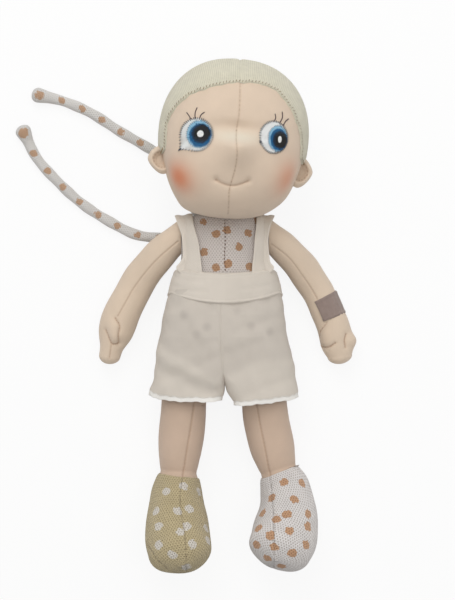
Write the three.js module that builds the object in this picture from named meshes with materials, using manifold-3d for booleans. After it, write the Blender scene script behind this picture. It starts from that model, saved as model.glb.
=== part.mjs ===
// Cloth doll lying on its back, in millimetres: +Z up from the surface it lies on, +Y towards its head.
// The origin is on the back of the waistband. Left and right are the doll's own, so left is +X.
import * as THREE from "three";
import Module from "manifold-3d";

const wasm = await Module();
wasm.setup();

const GAP = 0.3; // clearance between pieces that touch
const JERSEY = 1; // knit cloth of the body and limbs
const SOCK_KNIT = 1.5; // thicker knit of the socks
const COTTON = 1.1; // woven cloth of the dungarees
const PRESSED = 0.5; // how far a soft form is pressed flat where it rests

const HEAD_WIDTH = 97;
const HEAD_HEIGHT = 105;
const HEAD_DEPTH = 87;
const HEAD_FULLNESS = 2.3; // 2 is an ellipsoid, more is fuller in the cheeks
const HEAD_TILT = -4.5; // degrees towards the doll's left shoulder
const HEAD_TURN = 3.5; // degrees towards the doll's left
const CHIN_RISE = 2; // lowest point of the head above the neck's pivot
const NOSE_HEIGHT = 7;
const NOSE_WIDTH = 26;
const NOSE_LENGTH = 26;
const NOSE_DROP = 12; // below the middle of the head
const CAP_THICKNESS = 1.6;
const HAIRLINE_RISE = 36; // of the cap's front edge above the middle of the head
const HAIRLINE_FORWARD = 34;
const HAIRLINE_EAR_DROP = 10; // the same edge beside the ears
const NAPE_CLEARANCE = 11; // from the cap's back edge to the neck
const EAR_LENGTH = 20;
const EAR_REACH = 6; // out from the side of the head
const EAR_ROOT = 3.5; // further in, where it is sewn on
const EAR_THICKNESS = 7;
const EAR_DROP = 17; // below the middle of the head
const EAR_FORWARD = 4;
const EYE_WIDTH = 20;
const EYE_HEIGHT = 20;
const EYE_INSET = 23; // from the side of the head to the middle of an eye
const EYE_THICKNESS = 0.8;

const NECK_DIAMETER = 26;
const NECK_SINK = 15; // how far the neck reaches into the body below its pivot

const WAIST_TO_NECK = 42.5;
const WAIST_TO_HIP = 57;
const SHOULDER_DROP = 9.5; // of the arm's pivot below the neck's
const SHOULDER_WIDTH = 61;
const SHOULDER_DEPTH = 38;
const WAIST_WIDTH = 69;
const WAIST_DEPTH = 49;
const HIP_WIDTH = 76;
const HIP_DEPTH = 46;
const HIP_SEAM_Z = 21;
const HIP_TAPER = 20; // from the flat hip seam up to the full hips
const HIP_RISE = 38; // from the hip seam up to where the body is deepest
const UNSTUFFED = 7; // flat cloth on each side of the hip seam
const SEAM_HALF = 1.4; // half the thickness of the flat seam that the legs swing on

const ARM_LENGTH = 97;
const ARM_DIAMETER = 22;
const ARM_OUT = 38; // degrees below level where the arm leaves the shoulder
const ARM_DOWN = 81; // the same at the hand
const ARM_Z = 24; // height of the shoulder's pivot
const THUMB_LENGTH = 15;
const LABEL_WIDTH = 15.5;
const LABEL_THICKNESS = 0.7;

const LEG_LENGTH = 71.5; // hip seam to ankle
const THIGH_DIAMETER = 31;
const ANKLE_DIAMETER = 26.6;
const HIP_SPACING = 51;
const LEFT_LEAN = [1, 20]; // degrees outwards at the hip and at the ankle
const RIGHT_LEAN = [1, 8];
const FOOT_LENGTH = 61; // ankle to the ball of the toes, along the foot
const FOOT_WIDTH = 42.5;
const FOOT_DEPTH = 40;
const FOOT_PITCH = [6, 56]; // degrees up from the floor at the ankle and at the toes
const SOLE_DROP = 13; // of the sole's seam below the middle of the foot

const BAND_HEIGHT = 18;
const BAND_THICKNESS = 1.8; // two layers
const STRAP_WIDTH = 14;
const STRAP_BASE = 18; // its width on the waistband
const STRAP_INSET = 15.5; // from the middle of the body to the strap's inner edge at the waistband
const STRAP_SPREAD = 1.5; // further out at the shoulder
const SHORTS_EASE = 4.5; // looseness at the hips
const SHORTS_CROTCH = 71; // below the middle of the waistband
const SHORTS_HEM = 79;
const SHORTS_LEG_ROOT = 30; // from the hip seam up to where a leg of the shorts leaves the seat
const SHORTS_LEG_WIDTH = 48;
const SHORTS_LEG_DEPTH = 40;
const SHORTS_SPLIT = 1.2; // from the middle to the inside of each leg opening

const TIE_DIAMETER = 7;
const TIE_SIDES = 10;
const UPPER_TIE = [
  [-5, 40, 10.6],
  [-15, 46, 5.2],
  [-29, 58.5, 3.5],
  [-38, 72, 3.5],
  [-45.5, 86, 3.5],
  [-56, 96.5, 3.5],
  [-72.5, 106, 3.5],
  [-93, 119, 3.5],
  [-112, 127, 3.5],
  [-129, 131, 3.5],
];
const LOWER_TIE = [
  [-5, 30, 7.6],
  [-16, 30.5, 3.7],
  [-33, 32, 3.5],
  [-60, 34.5, 3.5],
  [-79, 43.5, 3.5],
  [-99, 56.5, 3.5],
  [-116, 72, 3.5],
  [-130, 88, 3.5],
  [-139, 106, 3.5],
];

const NECK_Y = WAIST_TO_NECK;
const SHOULDER_Y = NECK_Y - SHOULDER_DROP;
const HIP_Y = -WAIST_TO_HIP;
const TORSO_Z = WAIST_DEPTH / 2 + GAP + BAND_THICKNESS - PRESSED;
const HEAD_Z = HEAD_DEPTH / 2 + GAP + CAP_THICKNESS - PRESSED;
const LEFT = 1;
const RIGHT = -1;
const FAR = 400;
const FRONT = new THREE.Vector3(0, 0, 1);
const radians = THREE.MathUtils.degToRad;

const solid = (geometry) => {
  const vertProperties = new Float32Array(geometry.getAttribute("position").array);
  const triVerts = new Uint32Array(geometry.index.array);
  return new wasm.Manifold(new wasm.Mesh({ numProp: 3, vertProperties, triVerts }));
};

// A closed surface over rings of points that follow each other, with a fan to a pole at each end.
function skin(rings, startPole, endPole) {
  const around = rings[0].length;
  const points = [...rings.flat(), startPole, endPole];
  const startIndex = points.length - 2;
  const endIndex = points.length - 1;
  const last = (rings.length - 1) * around;
  const index = [];
  for (let k = 0; k < around; k += 1) {
    const next = (k + 1) % around;
    index.push(startIndex, next, k, endIndex, last + k, last + next);
    for (let j = 0; j < last; j += around) {
      index.push(j + k, j + next, j + around + next, j + k, j + around + next, j + around + k);
    }
  }
  const geometry = new THREE.BufferGeometry().setFromPoints(points);
  geometry.setIndex(index);
  return geometry;
}

// A stuffed form along a spine. Each station is a point of the spine with the half width and half depth
// there, and a dome closes each end.
function form({ stations, around, steps, fullness = 2, startDome = 0, endDome = 0 }) {
  const spine = new THREE.CatmullRomCurve3(stations.map((s) => new THREE.Vector3(...s.at)));
  const halves = new THREE.CatmullRomCurve3(
    stations.map((s) => new THREE.Vector3(s.wide, s.deep, 0)),
    false,
    "catmullrom",
  );
  const rings = [];
  const addRing = (t, shift, scale) => {
    const along = spine.getTangent(t);
    const centre = spine.getPoint(t).addScaledVector(along, shift);
    const half = halves.getPoint(t).multiplyScalar(scale);
    const deep = FRONT.clone().addScaledVector(along, -FRONT.dot(along)).normalize();
    const side = deep.clone().cross(along);
    const ring = [];
    for (let k = 0; k < around; k += 1) {
      const turn = (2 * Math.PI * k) / around;
      const bulge = (v) => Math.sign(v) * Math.abs(v) ** (2 / fullness);
      const point = centre.clone().addScaledVector(side, half.x * bulge(Math.cos(turn)));
      ring.push(point.addScaledVector(deep, half.y * bulge(Math.sin(turn))));
    }
    rings.push(ring);
  };
  const domeTurns = [75, 50, 25].map(radians);
  if (startDome > 0) {
    domeTurns.forEach((turn) => addRing(0, -startDome * Math.sin(turn), Math.cos(turn)));
  }
  for (let i = 0; i <= steps; i += 1) {
    addRing(i / steps, 0, 1);
  }
  if (endDome > 0) {
    [...domeTurns].reverse().forEach((turn) => addRing(1, endDome * Math.sin(turn), Math.cos(turn)));
  }
  const startPole = spine.getPoint(0).addScaledVector(spine.getTangent(0), -startDome);
  const endPole = spine.getPoint(1).addScaledVector(spine.getTangent(1), endDome);
  return skin(rings, startPole, endPole);
}

// The same form as a solid with its surface moved out by a distance, or in where it is negative.
function grown(geometry, distance) {
  const moved = geometry.clone();
  moved.computeVertexNormals();
  const position = moved.getAttribute("position");
  const normal = moved.getAttribute("normal");
  const point = new THREE.Vector3();
  const out = new THREE.Vector3();
  for (let i = 0; i < position.count; i += 1) {
    point.fromBufferAttribute(position, i);
    out.fromBufferAttribute(normal, i);
    point.addScaledVector(out, distance);
    position.setXYZ(i, point.x, point.y, point.z);
  }
  return solid(moved);
}

const layer = (geometry, from, to) => grown(geometry, to).subtract(grown(geometry, from));

function block(low, high) {
  const size = high.map((v, i) => v - low[i]);
  const box = new THREE.BoxGeometry(...size).toNonIndexed();
  box.translate(...high.map((v, i) => (v + low[i]) / 2));
  return solid(welded(box));
}

// One vertex for each place, so that the surface is closed.
function welded(geometry) {
  const position = geometry.getAttribute("position");
  const seen = new Map();
  const points = [];
  const index = [];
  const order = geometry.index ? Array.from(geometry.index.array) : [...Array(position.count).keys()];
  for (const i of order) {
    const point = new THREE.Vector3().fromBufferAttribute(position, i);
    const key = point.toArray().map((v) => Math.round(v * 1e4)).join(",");
    if (!seen.has(key)) {
      seen.set(key, points.length);
      points.push(point);
    }
    index.push(seen.get(key));
  }
  const kept = [];
  for (let i = 0; i < index.length; i += 3) {
    const [a, b, c] = index.slice(i, i + 3);
    if (a !== b && b !== c && a !== c) {
      kept.push(a, b, c);
    }
  }
  const merged = new THREE.BufferGeometry().setFromPoints(points);
  merged.setIndex(kept);
  return merged;
}

const ball = (radius, centre, across = 24, down = 16) =>
  solid(welded(new THREE.SphereGeometry(radius, across, down).translate(...centre)));

// Everything on the far side of a plane, as a block laid against it.
function beyond(point, direction) {
  const turn = new THREE.Quaternion().setFromUnitVectors(FRONT, direction.clone().normalize());
  const box = new THREE.BoxGeometry(FAR, FAR, FAR).translate(0, 0, FAR / 2);
  box.applyQuaternion(turn).translate(...point);
  return solid(welded(box));
}

// The floor as it lies in a group's own frame.
function floorIn(group) {
  group.updateMatrixWorld(true);
  const box = new THREE.BoxGeometry(FAR * 3, FAR * 3, FAR).translate(0, 0, -FAR / 2);
  return solid(welded(box.applyMatrix4(group.matrixWorld.clone().invert())));
}

const material = (colour) => new THREE.MeshStandardMaterial({ color: colour, roughness: 0.9 });

const SKIN = "#dcc5ae";
const FILLING = "#f1eee6";
const CAP = "#cdc9b4";
const WOVEN = "#d3c9bc";
const SPOTTED = "#d2cac6";
const SAGE = "#ab9d7c";
const LABEL = "#897873";
const EYE = "#2d6a9c";

function addPiece(group, name, shape, colour) {
  const mesh = shape.getMesh();
  const geometry = new THREE.BufferGeometry();
  geometry.setAttribute("position", new THREE.BufferAttribute(mesh.vertProperties, 3));
  geometry.setIndex(new THREE.BufferAttribute(mesh.triVerts, 1));
  const piece = new THREE.Mesh(geometry, material(colour));
  piece.name = name;
  group.add(piece);
}

const doll = new THREE.Group();
doll.name = "cloth_doll";

// Torso: a stuffed bag, flat along the hip seam, open where the neck goes in.
const torsoStations = [
  { at: [0, HIP_Y + SEAM_HALF + GAP, HIP_SEAM_Z], wide: HIP_WIDTH * 0.45, deep: SEAM_HALF },
  { at: [0, HIP_Y + HIP_TAPER * 0.4, HIP_SEAM_Z + 1], wide: HIP_WIDTH * 0.475, deep: HIP_DEPTH * 0.22 },
  { at: [0, HIP_Y + HIP_TAPER, TORSO_Z - 1], wide: HIP_WIDTH * 0.5, deep: HIP_DEPTH * 0.45 },
  { at: [0, HIP_Y + HIP_RISE, TORSO_Z], wide: HIP_WIDTH * 0.49, deep: HIP_DEPTH * 0.51 },
  { at: [0, 0, TORSO_Z], wide: WAIST_WIDTH / 2, deep: WAIST_DEPTH / 2 },
  { at: [0, SHOULDER_Y * 0.5, TORSO_Z], wide: SHOULDER_WIDTH * 0.49, deep: WAIST_DEPTH * 0.46 },
  { at: [0, SHOULDER_Y, TORSO_Z], wide: SHOULDER_WIDTH / 2, deep: SHOULDER_DEPTH / 2 },
  { at: [0, NECK_Y - 4, TORSO_Z - 0.5], wide: SHOULDER_WIDTH * 0.47, deep: SHOULDER_DEPTH * 0.4 },
  { at: [0, NECK_Y - 0.5, TORSO_Z - 1], wide: SHOULDER_WIDTH * 0.41, deep: SHOULDER_DEPTH * 0.27 },
  { at: [0, NECK_Y + 1.5, TORSO_Z - 1], wide: SHOULDER_WIDTH * 0.3, deep: SHOULDER_DEPTH * 0.12 },
];
const torsoForm = (around, steps) => form({ stations: torsoStations, around, steps, fullness: 2.3 });
const torso = torsoForm(22, 18);
const pivot = [0, NECK_Y, TORSO_Z];

function neckShape(clearance) {
  const radius = NECK_DIAMETER / 2 + clearance;
  const length = NECK_SINK + clearance;
  const stub = new THREE.CylinderGeometry(radius, radius, length, 24).translate(0, -length / 2, 0);
  const dome = new THREE.SphereGeometry(radius, 24, 14);
  return solid(welded(stub)).add(solid(welded(dome))).translate(...pivot);
}

const stuffable = block([-FAR, HIP_Y + UNSTUFFED, -FAR], [FAR, FAR, FAR]);
const torsoCavity = grown(torso, -JERSEY).intersect(stuffable);
const torsoFilling = grown(torsoForm(12, 12), -JERSEY - 3 * GAP)
  .intersect(stuffable.translate(0, GAP, 0))
  .subtract(neckShape(2 * GAP));
addPiece(doll, "torso_cover", solid(torso).subtract(torsoCavity).subtract(neckShape(GAP)), SPOTTED);
addPiece(doll, "torso_filling", torsoFilling, FILLING);

// Neck: a stuffed stub sewn into the torso, with a round top that the head sits on.
const neck = new THREE.Group();
addPiece(neck, "neck_stub", neckShape(0), SKIN);
doll.add(neck);

// Head: a full egg with a needle-sculpted nose, in its own frame at the neck's pivot.
const head = new THREE.Group();
head.position.set(...pivot);
head.rotation.set(0, radians(HEAD_TURN), radians(HEAD_TILT), "ZYX");
const headMiddle = new THREE.Vector3(0, CHIN_RISE + HEAD_HEIGHT / 2, HEAD_Z - TORSO_Z);

function headForm(across, down) {
  const geometry = welded(new THREE.SphereGeometry(1, across, down));
  const position = geometry.getAttribute("position");
  const point = new THREE.Vector3();
  const half = [HEAD_WIDTH / 2, HEAD_HEIGHT / 2, HEAD_DEPTH / 2];
  for (let i = 0; i < position.count; i += 1) {
    point.fromBufferAttribute(position, i);
    const shares = point.toArray().map((v, axis) => Math.abs(v / half[axis]) ** HEAD_FULLNESS);
    point.multiplyScalar((shares[0] + shares[1] + shares[2]) ** (-1 / HEAD_FULLNESS));
    if (point.z > 0) {
      const aside = point.x / (NOSE_WIDTH / 2);
      const below = (point.y + NOSE_DROP) / (NOSE_LENGTH / 2);
      point.z += NOSE_HEIGHT * Math.exp(-(aside ** 2) - below ** 2);
    }
    position.setXYZ(i, ...point.add(headMiddle));
  }
  return geometry;
}

const HEAD_ACROSS = 26; // facets round the head
const HEAD_DOWN = 18; // and from its crown to its chin
const face = headForm(HEAD_ACROSS, HEAD_DOWN);
const onFloor = floorIn(head);
const socket = ball(NECK_DIAMETER / 2 + GAP, [0, 0, 0]);
const headCover = solid(face).subtract(grown(face, -JERSEY)).subtract(socket);
addPiece(head, "head_cover", headCover, SKIN);
const dent = ball(NECK_DIAMETER / 2 + 2 * GAP, [0, 0, 0]);
const headFilling = grown(headForm(14, 10), -JERSEY - 3 * GAP).subtract(dent);
addPiece(head, "head_filling", headFilling, FILLING);

// Cap: knit hair over the crown and the back of the head, down to the nape.
const hairlineTop = headMiddle.clone().add(new THREE.Vector3(0, HAIRLINE_RISE, HAIRLINE_FORWARD));
const hairlineEar = headMiddle.clone().add(new THREE.Vector3(0, -HAIRLINE_EAR_DROP, 1));
const alongHairline = hairlineTop.clone().sub(hairlineEar);
const bareFace = beyond(hairlineEar.toArray(), new THREE.Vector3(0, -alongHairline.z, alongHairline.y));
const nape = ball(NECK_DIAMETER / 2 + NAPE_CLEARANCE, [0, 0, 0]);
const cap = layer(face, GAP, GAP + CAP_THICKNESS).subtract(bareFace).subtract(nape).subtract(onFloor);
addPiece(head, "hair_cap", cap, CAP);

// Ears: small padded discs sewn on beside the cap's edge.
const capped = grown(face, 2 * GAP + CAP_THICKNESS).subtract(bareFace.translate(0, GAP, -GAP));
for (const [name, side] of [["ear_left", LEFT], ["ear_right", RIGHT]]) {
  const disc = new THREE.SphereGeometry(1, 14, 10);
  disc.scale(EAR_REACH + EAR_ROOT, EAR_LENGTH / 2, EAR_THICKNESS / 2);
  disc.translate(
    side * (HEAD_WIDTH / 2 - EAR_ROOT),
    headMiddle.y - EAR_DROP,
    headMiddle.z + EAR_FORWARD,
  );
  addPiece(head, name, solid(welded(disc)).subtract(grown(face, GAP)).subtract(capped), SKIN);
}

// Eyes: embroidery that stands a little proud of the face.
for (const [name, side] of [["eye_left", LEFT], ["eye_right", RIGHT]]) {
  const patch = new THREE.CylinderGeometry(0.5, 0.5, FAR / 4, 20).rotateX(Math.PI / 2);
  patch.scale(EYE_WIDTH, EYE_HEIGHT, 1);
  patch.translate(side * (HEAD_WIDTH / 2 - EYE_INSET), headMiddle.y, FAR / 8 + headMiddle.z);
  addPiece(head, name, layer(face, GAP, GAP + EYE_THICKNESS).intersect(solid(welded(patch))), EYE);
}
neck.add(head);

// Arms: stuffed tubes that lie beside the body, cut flat where they are sewn to its side.
const smooth = (v) => THREE.MathUtils.smoothstep(v, 0, 1);

function armAt(side, share) {
  const start = radians(ARM_OUT);
  const turn = start + (radians(ARM_DOWN) - start) * share;
  const bend = ARM_LENGTH / (radians(ARM_DOWN) - start);
  const lie = ARM_DIAMETER / 2 - PRESSED - ARM_Z;
  const x = side * bend * (Math.sin(turn) - Math.sin(start));
  return [x, -bend * (Math.cos(start) - Math.cos(turn)), lie * smooth(share / 0.55)];
}

// Share of the arm's length, then half width and half depth against its usual ones.
const armSwell = [
  [-0.05, 0.7, 0.8],
  [0.06, 0.86, 0.92],
  [0.2, 0.95, 0.98],
  [0.4, 1, 1],
  [0.6, 1.04, 1],
  [0.76, 1.06, 1],
  [0.88, 0.98, 0.86],
  [0.97, 0.78, 0.66],
];
const armpit = SHOULDER_WIDTH / 2 + GAP;
for (const [suffix, side] of [["left", LEFT], ["right", RIGHT]]) {
  const arm = new THREE.Group();
  arm.position.set(side * armpit, SHOULDER_Y, ARM_Z);
  const floor = floorIn(arm);
  const stations = armSwell.map(([share, wide, deep]) => ({
    at: armAt(side, share),
    wide: (ARM_DIAMETER / 2) * wide,
    deep: (ARM_DIAMETER / 2) * deep,
  }));
  const domes = { startDome: 4, endDome: ARM_DIAMETER * 0.3 };
  const armForm = (around, steps) => form({ stations, around, steps, ...domes });
  const tube = armForm(12, 13);
  const thumb = new THREE.SphereGeometry(1, 12, 8);
  thumb.scale(THUMB_LENGTH * 0.3, THUMB_LENGTH / 2, THUMB_LENGTH * 0.3);
  const knuckle = armAt(side, 0.87);
  thumb.rotateZ(side * -0.3);
  thumb.translate(knuckle[0] - side * ARM_DIAMETER * 0.12, knuckle[1], knuckle[2] + ARM_DIAMETER * 0.36);
  const bodyward = new THREE.Vector3(-side, 0, 0);
  const inside = beyond([0, 0, 0], bodyward);
  const mitten = solid(tube).add(solid(welded(thumb)));
  const cover = mitten.subtract(grown(tube, -JERSEY)).subtract(inside).subtract(floor);
  addPiece(arm, "arm_cover_" + suffix, cover, SKIN);
  const filling = grown(armForm(8, 8), -JERSEY - 3 * GAP)
    .subtract(beyond([side * GAP, 0, 0], bodyward))
    .subtract(floor.translate(0, 0, JERSEY + GAP));
  addPiece(arm, "arm_filling_" + suffix, filling, FILLING);
  if (side === LEFT) {
    const from = new THREE.Vector3(...armAt(side, 0.57));
    const along = new THREE.Vector3(...armAt(side, 0.62)).sub(from).normalize();
    const end = from.clone().addScaledVector(along, LABEL_WIDTH);
    const seam = new THREE.Vector3(along.y, -along.x, 0).multiplyScalar(-side);
    const band = layer(tube, GAP, GAP + LABEL_THICKNESS)
      .subtract(beyond(from.toArray(), along.clone().negate()))
      .subtract(beyond(end.toArray(), along))
      .subtract(beyond(from.toArray(), seam.negate()))
      .subtract(floor);
    addPiece(arm, "wrist_label", band, LABEL);
  }
  doll.add(arm);
}

// Legs: one stuffed form from the flat hip seam to the toes, in skin cloth to the ankle and sock knit
// beyond, with a sewn-in sole.
function legAt(side, share, lean) {
  const [start, end] = lean.map(radians);
  const turn = start + (end - start) * share;
  const bend = LEG_LENGTH / (end - start);
  const underShorts = THIGH_DIAMETER / 2 + COTTON + 3 * GAP - HIP_SEAM_Z;
  const lie = THIGH_DIAMETER / 2 - PRESSED - HIP_SEAM_Z;
  const sink = underShorts * smooth(share / 0.3) + (lie - underShorts) * smooth((share - 0.3) / 0.3);
  const outwards = bend * (Math.cos(start) - Math.cos(turn));
  return [side * outwards, -bend * (Math.sin(turn) - Math.sin(start)), sink];
}

function footAt(side, share, lean) {
  const ankle = legAt(side, 1, lean);
  const [start, end] = FOOT_PITCH.map(radians);
  const pitch = start + (end - start) * share;
  const bend = FOOT_LENGTH / (end - start);
  const reach = bend * (Math.sin(pitch) - Math.sin(start));
  const toeIn = radians(lean[1]) * (1 - 1.1 * share);
  const rise = bend * (Math.cos(start) - Math.cos(pitch));
  return [ankle[0] + side * reach * Math.sin(toeIn), ankle[1] - reach * Math.cos(toeIn), ankle[2] + rise];
}

// Share of the leg's or foot's length, then half width and half depth against its usual ones.
const legSwell = [
  [0, 0.96, SEAM_HALF / (THIGH_DIAMETER / 2)],
  [0.07, 0.97, 0.16],
  [0.18, 0.99, 0.6],
  [0.32, 1, 0.98],
  [0.55, 1, 1],
  [0.8, 0.95, 0.97],
];
const footSwell = [
  [0.22, 0.77, 0.9],
  [0.48, 0.9, 1.02],
  [0.76, 1, 1],
  [1, 0.96, 0.8],
];
const LEGS = [
  ["left", LEFT, LEFT_LEAN, SPOTTED],
  ["right", RIGHT, RIGHT_LEAN, SAGE],
];
for (const [suffix, side, lean, knit] of LEGS) {
  const leg = new THREE.Group();
  leg.position.set((side * HIP_SPACING) / 2, HIP_Y, HIP_SEAM_Z);
  const floor = floorIn(leg);
  const shin = legSwell.map(([share, wide, deep]) => ({
    at: legAt(side, share, lean),
    wide: (THIGH_DIAMETER / 2) * wide,
    deep: (THIGH_DIAMETER / 2) * deep,
  }));
  const ankle = { at: legAt(side, 1, lean), wide: ANKLE_DIAMETER / 2, deep: ANKLE_DIAMETER / 2 };
  const foot = footSwell.map(([share, wide, deep]) => ({
    at: footAt(side, share, lean),
    wide: (FOOT_WIDTH / 2) * wide,
    deep: (FOOT_DEPTH / 2) * deep,
  }));
  const stations = [...shin, ankle, ...foot];
  const legForm = (around, steps) =>
    form({ stations, around, steps, startDome: SEAM_HALF, endDome: FOOT_DEPTH * 0.3 });
  const shape = legForm(14, 22);
  const ankleAt = new THREE.Vector3(...ankle.at);
  const down = new THREE.Vector3(side * Math.sin(radians(lean[1])), -Math.cos(radians(lean[1])), 0);
  const footSide = beyond(ankleAt.toArray(), down);
  const unstuffed = beyond([0, -UNSTUFFED, 0], new THREE.Vector3(0, 1, 0));
  const cavity = grown(shape, -JERSEY).subtract(unstuffed);
  const cover = solid(shape).subtract(cavity).subtract(footSide).subtract(floor);
  addPiece(leg, "leg_cover_" + suffix, cover, SKIN);
  const legSide = beyond(ankleAt.clone().addScaledVector(down, GAP).toArray(), down.clone().negate());
  const sock = grown(shape, SOCK_KNIT - JERSEY).subtract(cavity).subtract(legSide).subtract(floor);
  const arch = new THREE.Vector3(...footAt(side, 0.6, lean));
  const toes = new THREE.Vector3(...footAt(side, 0.9, lean)).sub(arch).normalize();
  const soleward = FRONT.clone().addScaledVector(toes, -toes.z).normalize().negate();
  const soleSeam = arch.addScaledVector(soleward, SOLE_DROP);
  const underfoot = beyond(soleSeam.toArray(), soleward);
  addPiece(leg, "sock_" + suffix, sock.subtract(underfoot), knit);
  const soleEdge = soleSeam.clone().addScaledVector(soleward, GAP);
  addPiece(leg, "sole_" + suffix, sock.intersect(beyond(soleEdge.toArray(), soleward)), knit);
  const filling = grown(legForm(10, 14), -JERSEY - 3 * GAP)
    .subtract(unstuffed.translate(0, -GAP, 0))
    .subtract(floor.translate(0, 0, SOCK_KNIT + GAP));
  addPiece(leg, "leg_filling_" + suffix, filling, FILLING);
  doll.add(leg);
}

// Waistband: a double band of cloth round the waist, which the straps and the shorts are sewn to.
const bandTop = BAND_HEIGHT / 2;
const floor = floorIn(doll);
const bandSlab = block([-FAR, -bandTop, -FAR], [FAR, bandTop, FAR]);
const waistband = layer(torso, GAP, GAP + BAND_THICKNESS).intersect(bandSlab).subtract(floor);
addPiece(doll, "waistband", waistband, WOVEN);

// Straps: from the front of the waistband over each shoulder to its back.
for (const [name, side] of [["strap_left", LEFT], ["strap_right", RIGHT]]) {
  const foot = bandTop + GAP;
  const inner = STRAP_INSET + STRAP_SPREAD;
  const outline = new THREE.Shape();
  outline.moveTo(STRAP_INSET, foot);
  outline.lineTo(STRAP_INSET + STRAP_BASE, foot);
  outline.quadraticCurveTo(inner + STRAP_WIDTH - 2, foot + 7, inner + STRAP_WIDTH - 1, SHOULDER_Y - 8);
  outline.lineTo(Math.min(inner + STRAP_WIDTH, SHOULDER_WIDTH / 2), SHOULDER_Y + 4);
  outline.lineTo(Math.min(inner + STRAP_WIDTH, SHOULDER_WIDTH / 2), FAR);
  outline.lineTo(inner, FAR);
  outline.lineTo(inner, SHOULDER_Y);
  const prism = new THREE.ExtrudeGeometry(outline, { depth: FAR, bevelEnabled: false, curveSegments: 5 });
  prism.translate(0, 0, -FAR / 2);
  if (side === RIGHT) {
    prism.rotateY(Math.PI);
  }
  const strap = layer(torso, GAP, GAP + COTTON).intersect(solid(welded(prism)));
  addPiece(doll, name, strap.subtract(neckShape(2 * GAP)).subtract(floor), WOVEN);
}

// Shorts: a loose seat with two wide legs, sewn together along the middle.
const easedHips = HIP_WIDTH / 2 + SHORTS_EASE;
const atWaist = COTTON + 4 * GAP;
const seat = form({
  stations: [
    { at: [0, -SHORTS_CROTCH, TORSO_Z - 4], wide: HIP_SPACING * 0.3, deep: HIP_DEPTH * 0.2 },
    { at: [0, HIP_Y + 4, TORSO_Z - 2], wide: easedHips - SHORTS_EASE * 0.5, deep: HIP_DEPTH * 0.45 },
    { at: [0, HIP_Y + 22, TORSO_Z], wide: easedHips, deep: HIP_DEPTH / 2 + SHORTS_EASE * 0.7 },
    { at: [0, -bandTop - 12, TORSO_Z], wide: easedHips - SHORTS_EASE * 0.4, deep: WAIST_DEPTH / 2 + 2.4 },
    { at: [0, 0, TORSO_Z], wide: WAIST_WIDTH / 2 + atWaist, deep: WAIST_DEPTH / 2 + atWaist },
  ],
  around: 20,
  steps: 8,
  fullness: 2.4,
});

function shortsLeg(side) {
  const wide = SHORTS_LEG_WIDTH / 2;
  const deep = SHORTS_LEG_DEPTH / 2;
  const middle = side * (SHORTS_SPLIT + wide);
  const lie = deep - PRESSED;
  const stations = [
    { at: [middle * 0.9, HIP_Y + SHORTS_LEG_ROOT, TORSO_Z], wide: wide * 0.6, deep: HIP_DEPTH * 0.4 },
    { at: [middle * 0.95, HIP_Y + 8, TORSO_Z - 3], wide: wide * 0.9, deep: deep * 1.04 },
    { at: [middle, -SHORTS_CROTCH, lie], wide, deep },
    { at: [middle, -SHORTS_HEM - 8, lie], wide, deep },
  ];
  return form({ stations, around: 16, steps: 6, fullness: 2.3 });
}

const shortsLegs = [LEFT, RIGHT].map(shortsLeg);
const shortsAt = (distance) =>
  shortsLegs.reduce((whole, legTube) => whole.add(grown(legTube, distance)), grown(seat, distance));
const shortsLength = block([-FAR, -SHORTS_HEM, -FAR], [FAR, -bandTop - GAP, FAR]);
const shorts = shortsAt(0).subtract(shortsAt(-COTTON)).intersect(shortsLength).subtract(floor);
addPiece(doll, "shorts_left", shorts.intersect(block([GAP / 2, -FAR, -FAR], [FAR, FAR, FAR])), WOVEN);
addPiece(doll, "shorts_right", shorts.intersect(block([-FAR, -FAR, -FAR], [-GAP / 2, FAR, FAR])), WOVEN);

// Ties: two thin stuffed tubes sewn to the back of the body under the doll's right shoulder.
for (const [name, route] of [["tie_upper", UPPER_TIE], ["tie_lower", LOWER_TIE]]) {
  const path = new THREE.CatmullRomCurve3(route.map((p) => new THREE.Vector3(...p)));
  const section = new THREE.Shape();
  for (let k = 0; k < TIE_SIDES; k += 1) {
    const turn = (2 * Math.PI * k) / TIE_SIDES;
    const point = [(Math.cos(turn) * TIE_DIAMETER) / 2, (Math.sin(turn) * TIE_DIAMETER) / 2];
    section[k === 0 ? "moveTo" : "lineTo"](...point);
  }
  const tube = new THREE.ExtrudeGeometry(section, { steps: 14, bevelEnabled: false, extrudePath: path });
  addPiece(doll, name, solid(welded(tube)).subtract(grown(torso, GAP)).subtract(floor), SPOTTED);
}

export default doll;
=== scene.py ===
import math

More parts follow.
